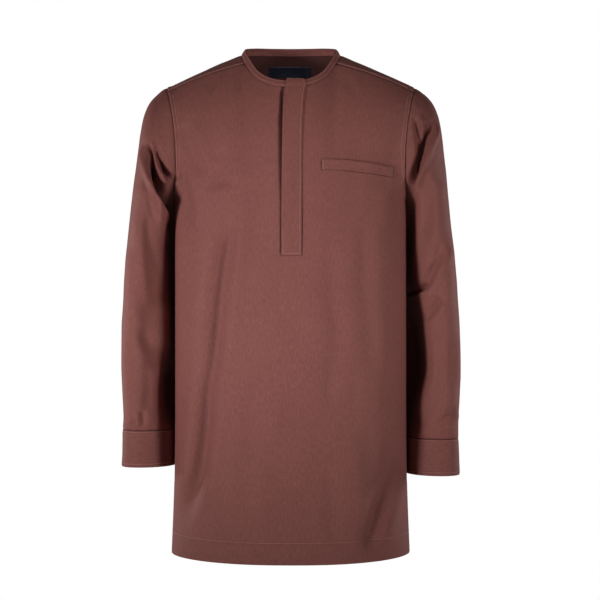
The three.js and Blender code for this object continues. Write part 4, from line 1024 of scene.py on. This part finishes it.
# Creases of the sleeves by side and face: path over |x| and z, half width, depth, lip
BOTH_BACK = [
    ([(250, -96), (240, -170), (228, -240), (216, -300)], 12, -8, .6),
    ([(228, -120), (220, -190), (214, -250)], 9, -6, .5),
    ([(288, -300), (266, -350), (244, -392), (226, -420)], 11, -6.5, .7),
    ([(292, -396), (268, -428), (244, -462), (228, -480)], 10, -6, .7),
    ([(294, -452), (276, -474), (258, -500)], 9, -3.6, .5),
    ([(278, -520), (262, -580), (258, -640)], 12, -3.5, .4),
    ([(236, -540), (234, -600), (238, -650)], 9, -3.5, .5)]
SLEEVE_FOLDS = {
    (1, "front"): [
        ([(246, -114), (238, -140), (229, -164), (219, -194), (209, -222), (204, -250)], 7, -24, .4),
        ([(240, -132), (230, -162), (220, -190), (211, -214)], 4, -12, 0),
        ([(214, -104), (218, -128), (222, -152), (224, -176)], 6, -12, .4),
        ([(211, -236), (208, -290), (206, -350)], 9, -10, .2),
        ([(240, -214), (236, -260), (232, -330)], 12, -7, .4),
        ([(266, -326), (250, -362), (234, -399), (220, -418)], 9, -8, .6),
        ([(238, -400), (221, -410), (206, -417)], 5, -9, .5),
        ([(272, -150), (262, -200), (254, -260), (248, -330)], 15, -3.4, .4),
        ([(262, -420), (244, -443), (226, -468)], 9, -7, .6),
        ([(286, -300), (276, -372), (270, -450)], 14, 3.4, .2),
        ([(284, -480), (281, -530), (283, -585)], 9, -4.4, .5),
        ([(262, -500), (256, -560), (258, -610)], 12, -3.4, .4),
        ([(292, -616), (276, -630), (252, -650)], 7, -6, .5),
        ([(270, -640), (268, -656), (268, -670)], 4, -2.6, .6)],
    (-1, "front"): [
        ([(249, -152), (245, -174), (238, -199), (229, -227), (219, -257), (212, -287),
          (206, -330)], 7, -25, .4),
        ([(245, -168), (238, -198), (229, -226), (220, -256), (212, -286)], 4.5, -25, 0),
        ([(224, -236), (216, -262), (209, -292)], 7, -20, .3),
        ([(241, -152), (233, -178), (225, -203), (216, -232)], 5.5, 9, .3),
        ([(246, -206), (239, -230), (230, -260), (222, -290)], 6.5, 5, .5),
        ([(236, -160), (228, -184), (218, -203), (206, -220)], 6, -20, .4),
        ([(224, -188), (216, -204), (207, -216)], 3.5, -8, 0),
        ([(272, -140), (264, -190), (256, -240)], 14, -3, .4),
        ([(250, -262), (245, -316), (236, -384), (231, -456)], 11, -5.5, .5),
        ([(262, -470), (246, -505), (230, -535), (216, -548)], 13, -5, .3),
        ([(286, -330), (278, -400), (272, -470)], 14, 3.2, .2),
        ([(222, -420), (222, -470), (224, -520)], 15, 4.5, .5),
        ([(278, -480), (270, -540), (266, -600)], 12, -3.6, .4),
        ([(250, -520), (246, -580), (250, -630)], 11, -3.6, .4),
        ([(259, -618), (257, -636), (256, -656)], 5.5, -3.6, .7),
        ([(274, -636), (274, -648), (273, -658)], 4.5, -3.0, .6)],
    (1, "back"): BOTH_BACK, (-1, "back"): BOTH_BACK}
# The hollow beside the body: how far out it reaches by height, and how much of it there is
HOLLOW = {
    1: table("z x part", [(-680, 222, 0), (-650, 228, .4), (-610, 226, .6), (-550, 238, .9),
                          (-480, 232, .9), (-430, 224, .6), (-380, 216, .4), (-330, 214, .5),
                          (-270, 214, .5), (-220, 210, 0)]),
    -1: table("z x part", [(-662, 222, 0), (-630, 228, .5), (-565, 227, .9), (-530, 218, .5),
                           (-500, 212, .3), (-440, 211, .3), (-390, 214, .6), (-340, 216, .9),
                           (-300, 214, .9), (-260, 212, .5), (-210, 208, 0)])}
FLANK = 24.0          # over which the hollow's wall comes forward


def hollowed(points, side, inner_y, facing):
    """Cloth beside the body goes back to the inner line's depth, over the flank's width and
    as far out as the hollow's table says, where it faces forward."""
    x, y, z = np.abs(points[..., 0]), points[..., 1], points[..., 2]
    reach, part = (column(HOLLOW[side], "z", key)(z) for key in ("x", "part"))
    weight = part * ease((reach - x) / FLANK + 0.5) * ease(2 * facing + 0.6)
    back = np.maximum(inner_y - y, 0) * weight
    return points + back[..., None] * BACKWARD


sleeves = {}
for side, name, drop in SIDES:
    row, k = np.meshgrid(np.linspace(0, LAST, 216), np.arange(len(hole)), indexing="ij")
    points = section(row, hole_angle[k]) + hole_own[k] * (1 - ease(row / SLEEVE_SETTLE))[..., None]
    points[..., 2] -= drop * row / LAST
    sleeve = Cloth(mirrored(points, side < 0), ring=True)
    x, z = np.abs(sleeve.points[..., 0]), sleeve.points[..., 2]
    facing = -sleeve.out[..., 1]
    from_hole, from_cuff = sleeve.v, from_top_of(sleeve)
    ends = ease((from_hole - 2) / 26) * ease(from_cuff / 22)
    creases = (folds(SLEEVE_FOLDS[side, "front"], x, z) * ease(2 * facing)
               + folds(SLEEVE_FOLDS[side, "back"], x, z) * ease(-2 * facing))
    wide = 2 * np.pi * k / len(hole)
    plain = (1.3 * field(SLEEVE_R * np.cos(wide) + 200, z + 30 * np.sin(wide), 30, 90, 91 + side)
             + 0.5 * field(SLEEVE_R * wide, z + 14 * np.sin(2 * wide), 24, 40, 95 + side))
    seam = (-1.1 * bell(from_hole, 2.0) + 0.5 * bell(from_hole - 8, 6)
            + 1.6 * pucker(2.2 * np.degrees(wide), 97 + side) * bell(from_hole - 9, 9))
    gathers = (0.9 * field(SLEEVE_R * wide, 0 * z, 13, 1, 99 + side) * bell(from_cuff - 4, 16)
               - 1.2 * bell(from_cuff, 1.8))
    sleeve.relief((creases + plain) * ends + seam + gathers)
    sleeve.move(hollowed(sleeve.points, side, sleeve_size["in_y"](row) - 3, facing))
    piece = sleeve.make(f"sleeve_{name}_panel", cloth_finish)
    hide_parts(f"sleeve_{name}")
    sleeves[side] = sleeve

# Slits
# A folded strip of suiting binds the slit over each cuff, on the outside at the back of the
# wrist. It is topstitched along both edges and twice across its top.
WRIST_BACK = 283.0                       # degrees round the section from its outer line
STRIP_WIDE, STRIP_LONG, STRIP_STITCH = 22.0, 130.0, 2.0
strip_column = int(np.interp(np.radians(360 - WRIST_BACK), -hole_angle, np.arange(len(hole))))
strip_u = np.linspace(-STRIP_WIDE / 2, STRIP_WIDE / 2, 11)
strip_up = np.linspace(STRIP_LONG, 2, 60)
for side, name, _ in SIDES:
    sleeve = sleeves[side]
    down = sleeve.v[:, strip_column]
    rows = np.interp(down[-1] - strip_up, down, np.arange(len(down)))
    i = rows[:, None] * np.ones(strip_u.size)
    centre = sleeve.u[np.round(rows).astype(int), strip_column][:, None]
    points, out = sleeve.at(i, sleeve.where_u(i, centre + strip_u))
    behind = points.mean((0, 1)) - out.mean((0, 1)) * 40
    strip = Cloth(points + out * (LAID_ON + CLOTH), middle=behind)
    edges = from_sides_of(strip)
    strip.relief(0.25 * ease(edges / 2) - 0.4 * bell(edges - STRIP_STITCH, 1.0)
                 - 0.4 * bell(strip.v, 1.5) - 0.4 * bell(from_top_of(strip), 1.5))
    piece = strip.make(f"sleeve_placket_{name}_strip", cloth_finish)
    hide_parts(f"sleeve_placket_{name}")
    end = len(strip.v) - 2
    stitching(f"sleeve_placket_{name}_stitching", [
        beside_edge(strip, STRIP_STITCH, 1, end),
        beside_edge(strip, STRIP_STITCH, 1, end, last=True),
        along_row_edge(strip, 3.0), along_row_edge(strip, 12.0)])

# Cuffs
# Each cuff is a doubled, interlined band of twill, topstitched at both edges. Its ends lap at
# the back of the wrist and close with one dark resin button of four holes.
CUFF_CLOTH, CUFF_DEEP, CUFF_SPREAD = 2.0, 64.0, 2.0     # the spread is at its lower edge
LAP, LAP_AT, LAP_GAP = 26.0, 270.0, 0.5    # degrees long, where it starts, and the air in it
HEAD_STITCH, FOOT_STITCH_UP = 2.2, 6.0     # in from the cuff's two long edges
BUTTON_DOWN, BUTTON_R, BUTTON_THICK = 30.0, 5.6, 2.6
BUTTON_ON = 0.3                            # air under the button
HOLE_OUT, HOLE_R = 1.15, 0.85              # the four holes


def cuff_out(angle):
    """Level outward direction of the sleeve's last section: square to the line between two
    places near the angle."""
    step = 0.02
    row = np.full(np.shape(angle), LAST)
    along = section(row, angle + step) - section(row, angle - step)
    out = np.stack([along[..., 1], -along[..., 0], np.zeros_like(along[..., 0])], -1)
    out /= np.linalg.norm(out, axis=-1, keepdims=True)
    centre = (section(row, 0 * angle) + section(row, 0 * angle + np.pi)) / 2
    facing = ((section(row, angle) - centre) * out).sum(-1, keepdims=True)
    return np.where(facing < 0, -out, out)


def cuff_point(degrees, down, out, drop):
    """The cuff below the sleeve's last section, moved out, a little more the lower it is."""
    angle = np.radians(degrees)
    point = section(np.full(np.shape(angle), LAST), angle)
    point = point + cuff_out(angle) * (out + CUFF_SPREAD * down / CUFF_DEEP)[..., None]
    return point - (down + drop)[..., None] * UP


button_finish = Finish("button_resin", Specular_IOR_Level=0.5, Coat_Weight=0.3)
across, along = button_finish.across_along()
grain = button_finish.streaks(across, along, 0.0022, 0.0022, 3.0)
button_finish = button_finish.surface(
    Base_Color=button_finish.blend((0.045, 0.016, 0.013), (0.10, 0.036, 0.03), grain),
    Roughness=0.3 + 0.15 * grain)
for side, name, drop in SIDES:
    turned, down = np.meshgrid(np.linspace(0, 360 + LAP, 231), np.linspace(0, CUFF_DEEP, 29))
    lift = ease((turned - 360 + LAP) / LAP) * (CUFF_CLOTH + LAP_GAP)
    points = cuff_point(LAP_AT + turned, down, lift, drop)
    cuff = Cloth(mirrored(points, side < 0), middle=(side * 255, -9, -690))
    bottom, ends = from_top_of(cuff), from_sides_of(cuff)
    cuff.relief((0.5 * ease(cuff.v / 3) * ease(bottom / 3) - 0.5 * bell(cuff.v - HEAD_STITCH, 1.1)
                 - 0.5 * bell(bottom - FOOT_STITCH_UP, 1.3) - 0.5 * bell(bottom, 1.2)
                 + 0.45 * field(cuff.u, cuff.v, 34, 22, 111 + side)
                 + 0.8 * pucker(cuff.u, 113 + side) * bell(cuff.v - 3, 5)
                 + 0.5 * pucker(cuff.u, 115 + side) * bell(bottom - 6, 5)) * ease(ends / 3))
    piece = cuff.make(f"cuff_{name}_band", cross_finish, CUFF_CLOTH)
    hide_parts(f"cuff_{name}")
    stitching(f"cuff_{name}_stitching", [
        along_row_edge(cuff, HEAD_STITCH), along_row_edge(cuff, FOOT_STITCH_UP, last=True),
        beside_edge(cuff, 6.0, 3, len(cuff.v) - 4, last=True)])

    # The button: a dished disc with a rolled rim and four holes, closed by a flat foot
    r, turn = np.meshgrid(np.linspace(0, 1, 29), np.linspace(0, 2 * np.pi, 57)[:-1], indexing="ij")
    flat_x, flat_y = BUTTON_R * r * np.cos(turn), BUTTON_R * r * np.sin(turn)
    from_hole = np.hypot(np.abs(flat_x) - HOLE_OUT, np.abs(flat_y) - HOLE_OUT)
    high = (BUTTON_THICK - 0.5 * bell(r, 0.62) - 0.9 * ease((r - 0.86) / 0.14) ** 2
            - 1.3 * ease((HOLE_R - from_hole) / 0.35))
    way = cuff_out(np.array(np.radians(WRIST_BACK)))
    centre = cuff_point(np.array(WRIST_BACK), np.array(BUTTON_DOWN),
                        np.array(CUFF_CLOTH + LAP_GAP + BUTTON_ON), drop)
    flat = flat_x[..., None] * np.cross(way, UP) + flat_y[..., None] * UP
    rim = flat[-1:]
    points = centre + np.concatenate(
        [flat + high[..., None] * way, rim + 0.5 * way, rim * 0.93, rim * 0.001])
    button = Cloth(mirrored(points, side < 0), ring=True)
    button_piece = button.make(f"cuff_{name}_button", button_finish, 0)
    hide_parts(f"cuff_button_{name}")

# Studio
# A plain pale floor lies well under the hem, in a pale surround. Two soft lights stand low in
# front, far out on both sides, a narrow one lights the neck, and two stand at the sides behind.
FLOOR_R, FLOOR_Z = 1600, -1300
floor_finish = Finish("pale_floor", Specular_IOR_Level=0.2, Emission_Strength=0.26,
                      Emission_Color=(1, 1, 0.98, 1))
floor_finish = floor_finish.surface(Base_Color=(0.86, 0.86, 0.85, 1), Roughness=0.9)
angle = np.linspace(0, 2 * np.pi, 129)[:-1]
disc = FLOOR_R * np.stack([np.cos(angle), np.sin(angle), np.full(angle.size, FLOOR_Z / FLOOR_R)], -1)
floor_mesh = bpy.data.meshes.new("floor")
floor_mesh.from_pydata(disc * MM, [], [list(range(angle.size))])
floor_mesh.materials.append(floor_finish)
floor = bpy.data.objects.new("floor", floor_mesh)
bpy.context.scene.collection.objects.link(floor)

world = bpy.data.worlds.new("surround")
world.use_nodes = True
nodes, links = world.node_tree.nodes, world.node_tree.links
background = nodes["Background"]
background.inputs["Color"].default_value = (1, 1, 1, 1)
seen = nodes.new("ShaderNodeLightPath").outputs["Is Camera Ray"]
strength = nodes.new("ShaderNodeMapRange")
strength.inputs["To Min"].default_value, strength.inputs["To Max"].default_value = 0.04, 1.0
links.new(seen, strength.inputs["Value"])
links.new(strength.outputs[0], background.inputs["Strength"])
bpy.context.scene.world = world


def softbox(name, place, aim, radius, beam, power):
    """A round soft light whose beam fades to nothing at the edge, in metres, degrees, watts."""
    light = bpy.data.lights.new(name, "SPOT")
    light.shadow_soft_size, light.energy = radius, power
    light.spot_size, light.spot_blend = np.radians(beam), 1.0
    box = bpy.data.objects.new(name, light)
    box.location = place
    box.rotation_euler = (Vector(aim) - Vector(place)).to_track_quat("-Z", "Y").to_euler()
    bpy.context.scene.collection.objects.link(box)


softbox("key", (-2.2, -1.95, -0.62), (-0.03, 0, -0.42), 0.42, 26, 382)
softbox("fill", (2.15, -1.95, -0.66), (-0.12, 0, -0.42), 0.42, 24, 248)
softbox("front", (0.1, -3.0, -0.32), (0.02, 0, 0.0), 0.15, 12, 98)
softbox("back_left", (-2.7, 1.3, -0.3), (0, 0, -0.5), 0.4, 44, 130)
softbox("back_right", (2.7, 1.3, -0.3), (0, 0, -0.5), 0.4, 44, 120)

LENS, CAMERA_AT = 87.6, (0.0165, -2.6, -0.427)
camera = bpy.data.objects.new("camera", bpy.data.cameras.new("camera"))
camera.data.lens, camera.data.sensor_width = LENS, 36.0
camera.location, camera.rotation_euler = CAMERA_AT, (np.pi / 2, 0, 0)
bpy.context.scene.collection.objects.link(camera)
bpy.context.scene.camera = camera
bpy.context.scene.view_settings.view_transform = "Standard"
